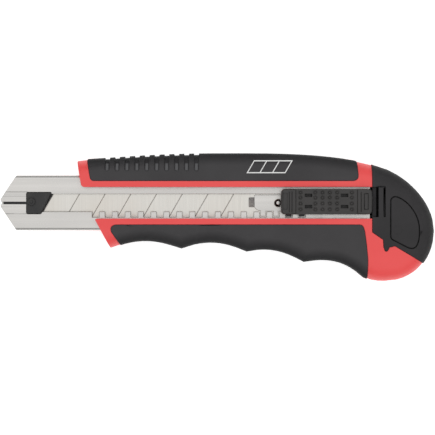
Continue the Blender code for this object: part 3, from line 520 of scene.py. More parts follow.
def grip_room(path):
    """What a rubber grip takes from the red moulding."""
    tool = through("grip_room", inset(trace(path), -HAIR_GAP / 2))
    return carve(tool, handle_slab("grip_core", SKIN + HAIR_GAP))


def cap_slide(name, key, gap, behind):
    """A key of the rear cap or, with a gap round it, the room that it slides in."""
    reach, side_low, side_high, bottom, top = key
    return strip(name, SEAM_X - reach - gap, SEAM_X + behind, side_low - gap, side_high + gap,
                 (bottom - gap) * MM, (top + gap) * MM)


def red_plastic():
    look = Look("red_plastic", (0.80, 0.07, 0.07), 0.4)
    cloud = look.noise(35.0, 3.0)
    look.colour(look.blend(look.ramp(cloud, 0.35, 0.7), (0.84, 0.066, 0.066), (0.89, 0.082, 0.08)))
    scuffs = look.ramp(look.noise(60.0, 6.0, (1.0, 6.0, 6.0)), 0.55, 0.75)
    look.roughness(0.38 + look.noise(1500.0) * 0.08 + scuffs * 0.1)
    look.bump(look.noise(9000.0, 1.0), 0.006 * MM)
    look.gloss(0.45)
    return look.material


body = handle_shell("handle_body_shell", RED_INSET)
carve(body, grip_room(UPPER_GRIP_PATH))
carve(body, grip_room(LOWER_GRIP_PATH))
carve(body, through("cap_room", inset(trace(CAP_PATH), -HAIR_GAP / 2)))
carve(body, plate("slot_room", trace(SLOT_PATH, 6), POCKET_TOP - 2 * CUT_OVER, TOOL_TOP))
carve(body, strip("pocket", 0, SEAM_X + 2, -POCKET_HALF, POCKET_HALF, POCKET_FLOOR, POCKET_TOP))
carve(body, cap_slide("tongue_room", CAP_TONGUE, KEY_GAP, 3))
carve(body, cap_slide("key_room", CAP_KEY, KEY_GAP, 3))
for screw in ("channel_screw_front", "channel_screw_rear"):
    screw_low, screw_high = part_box(screw)
    station = ((screw_low.x + screw_high.x) / 2 - NOSE_X) / MM
    carve(body, rod("screw_room", station, 0, SCREW_ROOM_RADIUS, -CUT_OVER, SCREW_ROOM_TOP))
sliced(softened(body, 0.12 * MM), SLICES)
done(body, "handle_body_shell", "handle", "red_body", red_plastic(), "handle_body")

# ---- Upper grip ----------------------------------------------------------
# The thumb rest and palm pad along the spine: soft black rubber moulded over the red core.
# Ten grooves cross the thumb rest and run a little way down both faces.

RIB_START = 41.6
RIB_PITCH = 3.84
RIB_COUNT = 10
RIB_HALF = 0.95
RIB_END = 13.2
RIB_DEPTH = 0.58 * MM


def black_rubber(name):
    """The rubber's look, and its colour with painted shade on its rounded sides, for a variant to blend
    with another.
    """
    look = Look(name, (0.03, 0.029, 0.03), 0.6)
    cloud = look.noise(45.0, 4.0)
    dust = look.ramp(look.noise(700.0, 4.0), 0.5, 0.8)
    dark = look.blend(look.ramp(cloud, 0.3, 0.75), (0.052, 0.050, 0.052), (0.066, 0.064, 0.066))
    rubber = look.blend(dust * 0.3, dark, (0.07, 0.068, 0.07))
    # Painted shade: the rounded sides are painted near black towards the handle's middle plane.
    rubber = look.blend(look.painted_flank_shade(5.0 * MM, 8.3 * MM), (0.006, 0.006, 0.007), rubber)
    look.colour(rubber)
    look.roughness(0.5 + cloud * 0.14 + dust * 0.08)
    look.bump(look.cells(5200.0) * 0.6 + look.noise(12000.0, 2.0) * 0.4, 0.02 * MM)
    look.gloss(0.1)
    return look, rubber


def ribbed_rubber():
    """The same rubber, with a painted highlight: pale patches at the lower ends of the grooves."""
    look, rubber = black_rubber("ribbed_rubber")
    start = NOSE_X + (RIB_START - RIB_PITCH / 2) * MM
    across = (look.along("X") - start) % (RIB_PITCH * MM) - RIB_PITCH / 2 * MM
    height = look.along("Y") - (AXIS_Y + RIB_END * MM)
    # Painted highlight: a pale patch inside each groove's lower end.
    inside = (across * across < (0.5 * MM) ** 2) * (height > -0.7 * MM) * (height < 2.0 * MM)
    inside = inside * (look.along("X") < NOSE_X + (RIB_START + RIB_COUNT * RIB_PITCH - 1) * MM)
    inside = inside * (look.along("X") > NOSE_X + (RIB_START - 1) * MM)
    look.colour(look.blend(inside * 0.75, rubber, (0.13, 0.13, 0.135)))
    return look.material


RUBBER = black_rubber("black_rubber")[0].material


def rib_tool(number):
    """One groove's plan: straight sides and a round lower end."""
    x = RIB_START + number * RIB_PITCH
    width = RIB_HALF
    path = ((x - width, 26.0), (x - width, RIB_END),
            (x - width, RIB_END - 1.3, x + width, RIB_END - 1.3, x + width, RIB_END),
            (x + width, 26.0))
    return through("rib", trace(path, 8))


grip = handle_shell("upper_grip_rubber", 0.0)
carve(grip, through("upper_region", inset(trace(UPPER_GRIP_PATH), HAIR_GAP / 2)), "INTERSECT")
carve(grip, handle_slab("upper_core", SKIN))
sliced(softened(grip, 0.38 * MM, 3), SLICES)
ribs = joined([rib_tool(number) for number in range(RIB_COUNT)])
carve(grip, carve(ribs, handle_slab("rib_floor", RIB_DEPTH)))
round_edges(grip, 0.1 * MM, 1, is_sharp)
done(grip, "upper_grip_rubber", "handle", "grip_rubber", ribbed_rubber(), "upper_grip")

# ---- Lower grip ----------------------------------------------------------
# The finger side: one pad of the same rubber with four finger grooves.
# It wraps round the red core from face to face.

grip = handle_shell("lower_grip_rubber", 0.0)
carve(grip, through("lower_region", inset(trace(LOWER_GRIP_PATH), HAIR_GAP / 2)), "INTERSECT")
carve(grip, handle_slab("lower_core", SKIN))
sliced(softened(grip, 0.3 * MM, 3), SLICES)
done(grip, "lower_grip_rubber", "handle", "grip_rubber", RUBBER, "lower_grip")

# ---- Blade channel -------------------------------------------------------
# A C section rolled from bright steel sheet, pointed at the nose, its lips turned in.
# The lower lip carries the ratchet notches. It is pressed into the handle's pocket.

SHEET = 0.8 * MM
BEND = 1.5 * MM
INNER_BEND = 0.6 * MM
PRESS = 0.18 * MM
INNER_PRESS = 0.14 * MM
PRESS_HALF = 4.5
INNER_PRESS_SIDES = (-1.6, 2.6)
NOSE_SLIT_SIDES = (-0.55, 0.45)
CHANNEL_HALF = 10.75
CHANNEL_INSIDE = CHANNEL_HALF - SHEET / MM
CHANNEL_END = 143.5
WINDOW_HALF = 3.45
WINDOW_START = 10.1
NOTCH_START = 37.0
NOTCH_PITCH = 5.0
NOTCH_COUNT = 17
NOTCH_HALF = 1.375
NOTCH_DEPTH = 2.2
NOSE_PATH = (
    (0.0, 1.3), (0.2, 1.75), (6.0, 10.4), (6.4, 11.0, 6.8, 11.6, 7.4, 11.8), (150.0, 11.8),
    (150.0, -11.8), (7.4, -11.8), (6.8, -11.6, 6.4, -11.0, 6.0, -10.4), (0.2, -1.75), (0.0, -1.3))
GUIDE_PATH = (
    (10.1, 3.4), (10.1, 3.75, 10.35, 4.0, 10.7, 4.0),
    (19.1, 4.0), (19.6, 4.0, 19.75, 3.85, 19.55, 3.4),
    (15.95, -3.7), (15.8, -4.0, 15.6, -4.2, 15.2, -4.2), (10.7, -4.2),
    (10.35, -4.2, 10.1, -3.95, 10.1, -3.6))


def is_long(edge):
    """Whether an edge runs along the knife."""
    return abs((edge.verts[0].co - edge.verts[1].co).x) > 10 * MM


def is_window_rim(edge):
    """Whether an edge bounds the window or a notch in the channel's face."""
    return is_sharp(edge) and all(
        vert.co.z > channel_high.z - 0.05 * MM and abs(vert.co.y - AXIS_Y) < 6 * MM
        and vert.co.x > NOSE_X + 9 * MM for vert in edge.verts)


def is_sunken(edge):
    """Whether an edge of a pressing tool runs along the knife, below the channel's face."""
    return is_long(edge) and edge.verts[0].co.z < channel_high.z


def channel_steel():
    look = Look("channel_steel", (0.66, 0.64, 0.61), 0.26, 1.0)
    lines = look.noise(1.0, 3.0, (14.0, 2600.0, 2600.0))
    bands = look.noise(1.0, 2.0, (6.0, 260.0, 260.0))
    tone = look.blend(look.ramp(bands, 0.3, 0.7), (0.45, 0.44, 0.425), (0.54, 0.525, 0.505))
    look.colour(look.blend(look.ramp(lines, 0.35, 0.8) * 0.2, tone, (0.60, 0.59, 0.57)))
    look.roughness(0.17 + lines * 0.14 + look.ramp(look.noise(90.0, 4.0), 0.4, 0.8) * 0.08)
    look.bump(lines, 0.0015 * MM)
    return look.material


STEEL = channel_steel()
channel_low, channel_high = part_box("blade_channel")
channel = strip("channel_shell", -1, CHANNEL_END, -CHANNEL_HALF, CHANNEL_HALF,
                channel_low.z, channel_high.z)
round_edges(channel, BEND, 8, is_long)
hollow = strip("channel_hollow", -5, CHANNEL_END + 5, -CHANNEL_INSIDE, CHANNEL_INSIDE,
               channel_low.z + SHEET, channel_high.z - SHEET)
carve(channel, round_edges(hollow, INNER_BEND, 5, is_long))
carve(channel, through("nose_plan", trace(NOSE_PATH, 6)), "INTERSECT")
lip = channel_high.z - SHEET - 0.3 * MM
top = channel_high.z + CUT_OVER
carve(channel, strip("window", WINDOW_START + 2, CHANNEL_END + 1, -WINDOW_HALF, WINDOW_HALF, lip, top))
carve(channel, plate("guide_seat", inset(trace(GUIDE_PATH, 5), -0.1 * MM), lip, top))
notches = []
for number in range(NOTCH_COUNT):
    x = NOTCH_START + number * NOTCH_PITCH
    notches.append(strip("notch", x - NOTCH_HALF, x + NOTCH_HALF, -WINDOW_HALF - NOTCH_DEPTH,
                         -WINDOW_HALF + 1, lip, top))
carve(channel, joined(notches))
cleaned(channel)
round_edges(channel, 0.2 * MM, 3, is_window_rim)
press = strip("press", -1, WINDOW_START + 0.5, -PRESS_HALF, PRESS_HALF, channel_high.z - PRESS, top)
carve(channel, round_edges(press, 0.35 * MM, 1, is_sunken))
inner_press = strip("inner_press", -1, WINDOW_START + 0.5, *INNER_PRESS_SIDES,
                    channel_high.z - PRESS - INNER_PRESS, top)
carve(channel, round_edges(inner_press, 0.3 * MM, 2, is_sunken))
carve(channel, strip("nose_slit", -1, WINDOW_START + 1, *NOSE_SLIT_SIDES, lip, top))
softened(channel, 0.07 * MM)
done(channel, "channel_shell", "handle", "channel_steel", STEEL, "blade_channel")

# ---- Nose guide ----------------------------------------------------------
# A glossy black key clipped into the front of the window; its slanted rear face
# follows the blade's front. A round boss with an eye stands in a moat near its front end.

BOSS = (12.1, 0.4)
BOSS_RADIUS = 1.5 * MM
BOSS_MOAT = 2.05 * MM
BOSS_MOAT_DEPTH = 0.45 * MM
BOSS_EYE = 0.6 * MM
BOSS_EYE_DEPTH = 0.3 * MM
FLANGE = 0.58 * MM
FLANGE_PATH = ((10.1, 5.75), (19.9, 5.75), (14.3, -5.75), (10.1, -5.75))


def black_gloss():
    look = Look("black_gloss", (0.008, 0.008, 0.008), 0.22)
    streaks = look.noise(220.0, 4.0, (1.0, 0.35, 1.0))
    look.colour(look.blend(look.ramp(streaks, 0.4, 0.75), (0.006, 0.006, 0.007), (0.02, 0.019, 0.018)))
    look.roughness(0.14 + streaks * 0.2)
    look.bump(look.noise(3000.0, 2.0), 0.006 * MM)
    look.gloss(0.4)
    return look.material


GLOSS = black_gloss()
guide_low, guide_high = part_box("nose_guide")
guide_top = guide_high.z - 0.25 * MM
guide = plate("nose_guide_key", trace(GUIDE_PATH, 5), guide_low.z, guide_top)
round_edges(guide, 0.22 * MM, 3, lambda edge: is_rim(edge)
            and edge.verts[0].co.z > guide_top - 0.1 * MM)
carve(guide, rod("boss_moat", *BOSS, BOSS_MOAT, guide_top - BOSS_MOAT_DEPTH, guide_top + CUT_OVER))
boss = rod("boss", *BOSS, BOSS_RADIUS, guide_low.z + 1 * MM, guide_high.z, 40)
carve(boss, rod("boss_eye", *BOSS, BOSS_EYE, guide_high.z - BOSS_EYE_DEPTH,
                guide_high.z + CUT_OVER, 32))
carve(guide, softened(boss, 0.22 * MM, 3), "UNION")
flange = plate("guide_flange", trace(FLANGE_PATH), guide_low.z, guide_low.z + FLANGE)
carve(guide, flange, "UNION")
done(guide, "nose_guide_key", "handle", "guide_plastic", GLOSS, "nose_guide")

# ---- Blades --------------------------------------------------------------
# Hardened steel blades with score lines that let each used segment snap off.
# The faces are ground crosswise, the edge side is honed bright, and the steel is oiled.

EDGE_BAND = 1.8
BLADE_TIP = 13.3
BLADE_TAIL = 113.3
BLADE_HALF = 9.0
SEGMENT = 10.0
SEGMENT_COUNT = 8
SCORE_HALF = 0.12
SCORE_DEPTH = 0.16 * MM
SCORED_END = 95.0
HONED_SHARE = 0.15
PIN_X = 107.9
TAIL_HOLE = 2.3 * MM
SNAP_LEAN = math.tan(math.radians(30))


def blade_steel():
    look = Look("blade_steel", (0.62, 0.60, 0.56), 0.22, 1.0)
    grind = look.noise(1.0, 3.0, (2400.0, 30.0, 30.0))
    oil = look.ramp(look.noise(55.0, 4.0), 0.4, 0.75)
    steel = look.blend(look.ramp(grind, 0.3, 0.75), (0.52, 0.505, 0.475), (0.59, 0.575, 0.54))
    steel = look.blend(oil * 0.4, steel, (0.55, 0.505, 0.445))
    across = look.along("Y") - (AXIS_Y - BLADE_HALF * MM)
    step = (look.along("X") - (NOSE_X + BLADE_TIP * MM) - across * SNAP_LEAN) % (SEGMENT * MM)
    score = (step < 2 * SCORE_HALF * MM) * (look.along("X") < NOSE_X + SCORED_END * MM)
    # Painted shade: the score lines are painted dark.
    steel = look.blend(score * 0.5, steel, (0.16, 0.145, 0.13))
    honed = across < EDGE_BAND * MM
    look.colour(look.blend(honed, steel, (0.72, 0.72, 0.70)))
    look.roughness(0.2 + grind * 0.16 + oil * 0.06 + score * 0.2 - honed * 0.08)
    look.bump(grind, 0.003 * MM)
    return look.material


def dressed(name, look):
    """Give a carried-over node its material."""
    for slot in nodes[name].material_slots:
        slot.material = look


BLADE = blade_steel()
for name in ("spare_blade_1", "spare_blade_2", "spare_blade_3"):
    dressed(name, BLADE)

blade_low, blade_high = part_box("cutting_blade")
reach = 2 * BLADE_HALF * SNAP_LEAN
blade = plate("snap_blade", trace(((BLADE_TIP, -BLADE_HALF), (BLADE_TAIL, -BLADE_HALF),
                                   (BLADE_TAIL, BLADE_HALF), (BLADE_TIP + reach, BLADE_HALF))),
              blade_low.z, blade_high.z)
bpy.ops.object.mode_set(mode="EDIT")
bpy.ops.mesh.select_all(action="SELECT")
bpy.ops.mesh.bisect(plane_co=(0, AXIS_Y - (BLADE_HALF - EDGE_BAND) * MM, 0), plane_no=(0, 1, 0))
bpy.ops.mesh.select_all(action="DESELECT")
shape = bmesh.from_edit_mesh(blade.data)
for vert in shape.verts:
    if vert.co.y < AXIS_Y - (BLADE_HALF - 0.1) * MM:
        vert.select_set(True)
shape.select_flush(True)
bmesh.update_edit_mesh(blade.data)
bpy.ops.transform.resize(value=(1, 1, HONED_SHARE),
                         center_override=(0, 0, (blade_low.z + blade_high.z) / 2))
bpy.ops.object.mode_set(mode="OBJECT")
scores = []
for number in range(1, SEGMENT_COUNT):
    x_low = BLADE_TIP + number * SEGMENT - SNAP_LEAN
    x_high = x_low + reach + 2 * SNAP_LEAN
    line = trace(((x_low, -BLADE_HALF - 1), (x_low + 2 * SCORE_HALF, -BLADE_HALF - 1),
                  (x_high + 2 * SCORE_HALF, BLADE_HALF + 1), (x_high, BLADE_HALF + 1)))
    scores.append(plate("score", line, blade_high.z - SCORE_DEPTH, blade_high.z + CUT_OVER))
carve(blade, joined(scores))
carve(blade, rod("tail_hole", PIN_X, 0, TAIL_HOLE, 0.0, TOOL_TOP))
softened(blade, 0.05 * MM, 1)
done(blade, "snap_blade", "blade", "blade_steel", BLADE, "cutting_blade")

# ---- Springs, pin, carrier and screws ------------------------------------
# Small steel pieces: the carrier and its pin push the blade, an open ring holds the pin,
# a waved leaf lifts the spare blades, and two screws hold the channel from the back.


def spring_steel():
    look = Look("spring_steel", (0.34, 0.33, 0.32), 0.35, 1.0)
    tint = look.ramp(look.noise(160.0, 3.0), 0.35, 0.7)
    look.colour(look.blend(tint, (0.30, 0.29, 0.285), (0.42, 0.40, 0.37)))
    look.roughness(0.3 + look.noise(900.0, 3.0) * 0.18)
    look.bump(look.noise(4000.0, 2.0), 0.004 * MM)
    return look.material


# Painted shade: the open ring's dark brown colour stands for the shade in the gap round the pin.
def painted_shade_steel():
    look = Look("painted_shade_steel", (0.15, 0.12, 0.10), 0.45, 0.3)
    tint = look.ramp(look.noise(300.0, 3.0), 0.35, 0.7)
    look.colour(look.blend(tint, (0.11, 0.085, 0.07), (0.2, 0.16, 0.13)))
    look.roughness(0.4 + tint * 0.15)
    return look.material


SPRING = spring_steel()
PAINTED_SHADE_STEEL = painted_shade_steel()
for name in ("magazine_spring", "channel_screw_front", "channel_screw_rear"):
    dressed(name, SPRING)
dressed("spare_blade_stop", GLOSS)
dressed("ratchet_spring", GLOSS)

CARRIER_PATH = (
    (99.0, 3.1), (111.8, 3.1), (113.8, 8.9), (142.0, 8.9), (142.0, -8.9), (113.8, -8.9),
    (111.8, -3.2), (102.2, -3.2), (100.3, -3.2, 98.9, -2.6, 98.6, -1.4), (98.6, 2.7),
    (98.6, 2.95, 98.75, 3.1, 99.0, 3.1))
CARRIER_SHEET = 0.6 * MM
TAB_STATIONS = (119.4, 133.3)
TAB_ROWS = (2.85, -1.5)
TAB_HALF_LENGTH = 1.1
TAB_HALF_WIDTH = 0.3
TOOTH_STATIONS = (102.0, 107.0)
TOOTH_HALF = 0.95
TOOTH_SIDES = (-5.2, -2.6)
TONGUE_SIDES = (96.35, 99.2, -1.75, 2.2)
TONGUE_SHEET = 0.22 * MM
KNURL_COLUMNS = 5
KNURL_ROWS = 8
KNURL_SIZE = 0.26 * MM
KNURL_TIP = 0.07 * MM
PIN_HOLE = 1.24 * MM
PIN_FOOT = 2.0 * MM
PIN_WAIST = 1.2 * MM
PIN_NUB = 0.9 * MM
RING_Y = -0.1
RING_RADIUS = 1.62 * MM
RING_EYE = 1.28 * MM
RING_MOUTH = (
    (PIN_X, RING_Y), (PIN_X + 2.0, 3.2), (PIN_X + 4.0, 3.2), (PIN_X + 4.0, -3.4), (PIN_X + 2.0, -3.4))
TAB_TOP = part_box("slider_carrier")[1].z
carrier_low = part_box("slider_carrier")[0].z
carrier_high = carrier_low + CARRIER_SHEET

carrier = plate("slider_carrier_plate", trace(CARRIER_PATH, 8), carrier_low, carrier_high)
round_edges(carrier, 0.16 * MM, 3, lambda edge: is_rim(edge)
            and edge.verts[0].co.z > carrier_high - 0.01 * MM)
for station in TOOTH_STATIONS:
    tooth = strip("tooth", station - TOOTH_HALF, station + TOOTH_HALF, *TOOTH_SIDES,
                  carrier_low, carrier_high - 0.02 * MM)
    carve(carrier, softened(tooth, 0.14 * MM, 3), "UNION")
for station in TAB_STATIONS:
    for row in TAB_ROWS:
        tab = strip("tab", station - TAB_HALF_LENGTH, station + TAB_HALF_LENGTH,
                    row - TAB_HALF_WIDTH, row + TAB_HALF_WIDTH, carrier_low + 0.1 * MM, TAB_TOP)
        carve(carrier, softened(tab, 0.12 * MM), "UNION")
carve(carrier, rod("pin_hole", PIN_X, 0, PIN_HOLE, 0.0, TOOL_TOP))
done(carrier, "slider_carrier_plate", "slider", "channel_steel", STEEL, "slider_carrier")

tongue = strip("carrier_tongue", *TONGUE_SIDES, carrier_low, carrier_low + TONGUE_SHEET)
round_edges(tongue, 0.6 * MM, 4, lambda edge: not is_rim(edge)
            and edge.verts[0].co.x < NOSE_X + 97 * MM)
teeth = [tongue]
for column in range(KNURL_COLUMNS):
    for row in range(KNURL_ROWS):
        x = 96.75 + 0.42 * column
        y = -1.35 + 0.45 * row
        bpy.ops.mesh.primitive_cone_add(
            vertices=4, radius1=KNURL_SIZE, radius2=KNURL_TIP, depth=KNURL_SIZE,
            location=(*place(x, y), carrier_low + 0.33 * MM))
        teeth.append(settled(bpy.context.active_object))
done(joined(teeth), "carrier_tongue", "slider", "spring_steel", SPRING, angle=20)

pin_low, pin_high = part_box("drive_pin")
pin = rod("pin_foot", PIN_X, 0, PIN_FOOT, pin_low.z, blade_high.z)
carve(pin, rod("pin_waist", PIN_X, 0, PIN_WAIST, blade_high.z - 0.1 * MM, carrier_high), "UNION")
nub = rod("pin_nub", PIN_X, 0, PIN_NUB, carrier_high - 0.1 * MM, pin_high.z)
round_edges(nub, 0.4 * MM, 5, lambda edge: is_rim(edge)
            and edge.verts[0].co.z > pin_high.z - 0.1 * MM)
carve(pin, nub, "UNION")
softened(pin, 0.06 * MM)
done(pin, "drive_pin_turned", "slider", "spring_steel", STEEL, "drive_pin")

# The open ring is painted dark brown: painted shade round the pin.
clip = rod("pin_clip", PIN_X, RING_Y, RING_RADIUS, carrier_high + 0.01 * MM, carrier_high + 0.3 * MM)
carve(clip, rod("clip_eye", PIN_X, RING_Y, RING_EYE, 0.0, TOOL_TOP))
carve(clip, plate("clip_mouth", trace(RING_MOUTH), 0.0, TOOL_TOP))
softened(clip, 0.06 * MM)
done(clip, "pin_clip", "slider", "spring_steel", PAINTED_SHADE_STEEL)

# ---- Slider --------------------------------------------------------------
# The thumb slider: a hard black moulding over the carrier, with a dished and dotted
# middle, cross lines and frames at both ends, and four windows over the carrier's tabs.
# Thin sheets of the black plastic lie in the windows just above the tabs: painted shade that keeps the
# windows dark.

slider_low, slider_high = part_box("slider_button")
SLIDER_SEAT = channel_high.z + 0.1 * MM
SLIDER_PATH = (
    (110.4, 5.35), (142.5, 5.35), (143.3, 5.35, 143.85, 4.8, 143.93, 4.0),
    (144.1, 2.0, 144.1, -1.0, 143.93, -3.1), (143.85, -3.95, 143.3, -4.5, 142.5, -4.5),
    (110.4, -4.5), (109.6, -4.5, 109.05, -3.95, 108.97, -3.1),
    (108.75, -1.0, 108.75, 2.0, 108.97, 4.0), (109.05, 4.8, 109.6, 5.35, 110.4, 5.35))
GRIP_LINES = ((112.0, 4.2, -3.7), (113.0, 4.2, -3.7), (139.7, 4.0, -3.5))
GRIP_FRAMES = ((109.7, 111.1, 3.6, -2.5), (140.9, 142.4, 3.5, -2.6))
LINE_HALF = 0.16
LINE_DEPTH = 0.45 * MM
DISH_SIDES = (114.4, 138.4, -6, 7)
BAY_SIDES = (109.8, 127.3, -6.0, -3.05)
NECK_SIDES = (110.3, 142.5, -2.9, 3.1)
WINDOW_HALF_LENGTH = 1.42
WINDOW_HALF_WIDTH = 0.64
DOT_COLUMNS = (116.3, 122.0, 124.8, 127.6, 130.4, 136.1)
DOT_ROWS = (3.95, 1.95, -0.3, -2.55)
DOT_RADIUS = 0.6 * MM
DOT_FLATTENING = 0.8
MOAT_RADIUS = 0.85 * MM
MOAT_DEPTH = 0.22 * MM
BAY_DEPTH = 0.85 * MM
DISH_DEPTH = 0.5 * MM


def slider_plastic():
    look = Look("slider_plastic", (0.025, 0.024, 0.023), 0.42)
    cloud = look.noise(120.0, 4.0)
    look.colour(look.blend(look.ramp(cloud, 0.35, 0.7), (0.026, 0.024, 0.023), (0.036, 0.033, 0.032)))
    look.gloss(0.4)
    look.roughness(0.36 + cloud * 0.14)
    look.bump(look.noise(7000.0, 2.0), 0.012 * MM)
    return look.material


SLIDER = slider_plastic()
slider_top = slider_high.z
dish_floor = slider_top - DISH_DEPTH
slider = plate("slider_thumb_piece", trace(SLIDER_PATH, 8), SLIDER_SEAT, slider_top)
round_edges(slider, 0.6 * MM, 5, lambda edge: is_rim(edge)
            and edge.verts[0].co.z > slider_top - 0.1 * MM)
dish = strip("thumb_dish", *DISH_SIDES, dish_floor, slider_top + 2 * CUT_OVER)
round_edges(dish, 0.45 * MM, 4, lambda edge: is_rim(edge) and not is_long(edge)
            and edge.verts[0].co.z < slider_top)
carve(slider, dish)
lines = []
for x, y_high, y_low in GRIP_LINES:
    lines.append((x - LINE_HALF, x + LINE_HALF, y_low, y_high))
for x_low, x_high, y_high, y_low in GRIP_FRAMES:
    lines.append((x_low - LINE_HALF, x_low + LINE_HALF, y_low, y_high))
    lines.append((x_high - LINE_HALF, x_high + LINE_HALF, y_low, y_high))
    lines.append((x_low, x_high, y_low - LINE_HALF, y_low + LINE_HALF))
    lines.append((x_low, x_high, y_high - LINE_HALF, y_high + LINE_HALF))
for line in lines:
    carve(slider, strip("grip_line", *line, slider_top - LINE_DEPTH, slider_top + CUT_OVER))
shafts = [(x - WINDOW_HALF_LENGTH, x + WINDOW_HALF_LENGTH, y - WINDOW_HALF_WIDTH, y + WINDOW_HALF_WIDTH)
          for x in TAB_STATIONS for y in TAB_ROWS]
for shaft in shafts:
    carve(slider, strip("tab_shaft", *shaft, 0.0, slider_top + CUT_OVER))
carve(slider, joined([rod("moat", x, y, MOAT_RADIUS, dish_floor - MOAT_DEPTH, slider_top + CUT_OVER, 20)
                      for x in DOT_COLUMNS for y in DOT_ROWS]))
carve(slider, strip("ratchet_bay", *BAY_SIDES, 0.0, SLIDER_SEAT + BAY_DEPTH))
softened(slider, 0.1 * MM)
neck = strip("slider_neck", *NECK_SIDES, slider_low.z, SLIDER_SEAT + 0.5 * MM)
for shaft in shafts:
    carve(neck, strip("tab_shaft", *shaft, 0.0, slider_top + CUT_OVER))
carve(slider, neck, "UNION")
done(slider, "slider_thumb_piece", "slider", "slider_plastic", SLIDER, "slider_button")

# Painted shade: thin black sheets just above the tabs keep the windows dark.
shade_sheets = [strip("window_shade_sheet", *shaft, TAB_TOP + 0.1 * MM, TAB_TOP + 0.4 * MM) for shaft in shafts]
done(joined(shade_sheets), "slider_window_shade", "slider", "slider_plastic", SLIDER)

dots = []
for x in DOT_COLUMNS:
    for y in DOT_ROWS:
        bpy.ops.mesh.primitive_uv_sphere_add(
            segments=16, ring_count=8, radius=DOT_RADIUS,
            location=(*place(x, y), dish_floor - 0.24 * MM))
        dot = bpy.context.active_object
        dot.scale.z = DOT_FLATTENING
        dots.append(settled(dot))
done(joined(dots), "slider_grip_dots", "slider", "slider_plastic", SLIDER, angle=80)

# ---- Rear cap ------------------------------------------------------------
# The black cap closes the butt. It slides off rearwards on a tongue and a key once
# its snap arm is lifted out of the red body; a raised bar gives the thumb a catch.

# Cuts that leave the thumb catch standing: their ends along and across the knife, then the
# height of their floor, all in millimetres.
CATCH_CUTS = {
    "slot_end": (143.0, 145.9, -5.5, 6.1, 15.75),
    "catch_slot": (145.75, 146.5, -5.5, 6.1, 13.2),
    "catch_groove": (148.6, 149.2, -5.5, 6.1, 16.0),
    "catch_side": (145.75, 149.2, 6.0, 6.3, 16.6)}
CAP_WALL = 3.0 * MM
HOLLOW_SIDES = (143.0, 159.1, -9.95, 9.95)
HOLLOW_FLOOR = 4.7 * MM
HOLLOW_TOP = 10.1 * MM
PAD_BED = 16.0 * MM
PAD_GAP = 0.2 * MM
PAD_DIMPLE = (153.9, -10.5, 1.8 * MM)
PAD_DIMPLE_DEPTH = 0.12 * MM
PAD_PATH = (
    (151.2, 0.6), (151.3, 2.1, 152.6, 2.6, 153.8, 2.2), (157.5, 0.9, 162.2, -4.0, 162.3, -10.4),
    (162.4, -13.5, 161.9, -15.9, 160.9, -17.0), (159.9, -18.0, 158.6, -17.7, 157.2, -17.0),
    (152.0, -14.3), (151.4, -13.9, 151.2, -13.5, 151.2, -12.8))


def black_cap():
    look = Look("black_cap", (0.02, 0.019, 0.02), 0.42)
    cloud = look.noise(60.0, 4.0)
    rub = look.ramp(look.noise(400.0, 5.0), 0.55, 0.8)
    face = look.blend(look.ramp(cloud, 0.3, 0.7), (0.032, 0.031, 0.032), (0.043, 0.041, 0.043))
    # Painted shade: the rounded sides are painted near black towards the handle's middle plane.
    look.colour(look.blend(look.painted_flank_shade(4.2 * MM, 7.6 * MM), (0.003, 0.003, 0.003), face))
    look.gloss(0.12)
    look.roughness(0.44 + cloud * 0.12 + rub * 0.08)
    look.bump(look.noise(8000.0, 2.0), 0.01 * MM)
    return look.material


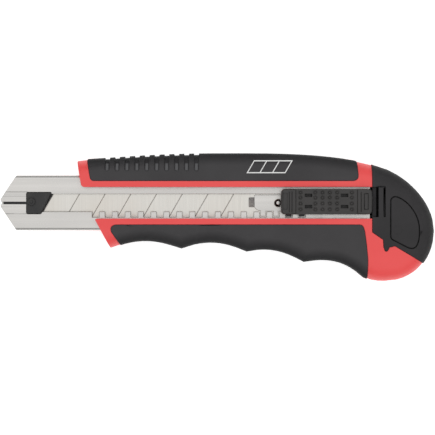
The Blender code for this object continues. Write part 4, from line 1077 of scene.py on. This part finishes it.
CAP = black_cap()
cap = handle_shell("rear_cap_shell", 0.0)
carve(cap, through("cap_region", inset(trace(CAP_PATH), HAIR_GAP / 2)), "INTERSECT")
for name, (*sides, bottom) in CATCH_CUTS.items():
    carve(cap, strip(name, *sides, bottom * MM, TOOL_TOP))
carve(cap, plate("pad_bed", inset(trace(PAD_PATH), -PAD_GAP), PAD_BED, TOOL_TOP))
softened(cap, 0.22 * MM)
hollow = strip("cap_hollow", *HOLLOW_SIDES, HOLLOW_FLOOR, HOLLOW_TOP)
carve(hollow, handle_slab("cap_wall", CAP_WALL), "INTERSECT")
carve(cap, hollow)
for name, key in (("cap_tongue", CAP_TONGUE), ("cap_key", CAP_KEY)):
    carve(cap, softened(cap_slide(name, key, 0, 2), 0.15 * MM), "UNION")
done(cap, "rear_cap_shell", "rear_cap", "cap_plastic", CAP, "rear_cap", "cap_snap_arm")

pad_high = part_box("cap_thumb_pad")[1]
pad = plate("cap_thumb_rest", inset(trace(PAD_PATH), PAD_GAP), PAD_BED + 0.05 * MM, pad_high.z)
softened(pad, 0.2 * MM, 3)
dimple = rod("pad_dimple", *PAD_DIMPLE, pad_high.z - PAD_DIMPLE_DEPTH, pad_high.z + CUT_OVER)
carve(pad, dimple)
done(pad, "cap_thumb_rest", "rear_cap", "cap_plastic", CAP, "cap_thumb_pad")

# ---- Blade mark ----------------------------------------------------------
# A plain sign on the palm pad, printed in pale grey ink: a slanted blade outline with
# two score lines.

MARK_X = 95.5
MARK_Y = 11.4
MARK_LENGTH = 15.0
MARK_HEIGHT = 5.0
MARK_SLANT = 2.9
MARK_LINE = 0.42
MARK_CELLS = 3


def slanted(x, y, length, height):
    """A parallelogram that leans like the blade's segments."""
    lean = MARK_SLANT * height / MARK_HEIGHT
    return [place(x, y), place(x + length, y), place(x + length + lean, y + height),
            place(x + lean, y + height)]


def pale_ink():
    look = Look("pale_ink", (0.78, 0.78, 0.77), 0.5)
    worn = look.ramp(look.noise(900.0, 5.0), 0.55, 0.8)
    look.colour(look.blend(worn * 0.5, (0.80, 0.80, 0.79), (0.5, 0.5, 0.5)))
    look.roughness(0.42 + worn * 0.2)
    return look.material


mark = plate("blade_mark", slanted(MARK_X, MARK_Y, MARK_LENGTH, MARK_HEIGHT),
             FACE_Z - 0.05 * MM, FACE_Z + 0.02 * MM)
cell = (MARK_LENGTH - (MARK_CELLS + 1) * MARK_LINE) / MARK_CELLS
lean = MARK_SLANT * MARK_LINE / MARK_HEIGHT
for number in range(MARK_CELLS):
    x = MARK_X + MARK_LINE + lean + number * (cell + MARK_LINE)
    carve(mark, plate("cell", slanted(x, MARK_Y + MARK_LINE, cell, MARK_HEIGHT - 2 * MARK_LINE),
                      FACE_Z - CUT_OVER, FACE_Z + CUT_OVER))
done(mark, "blade_mark", "handle", "grip_rubber", pale_ink())
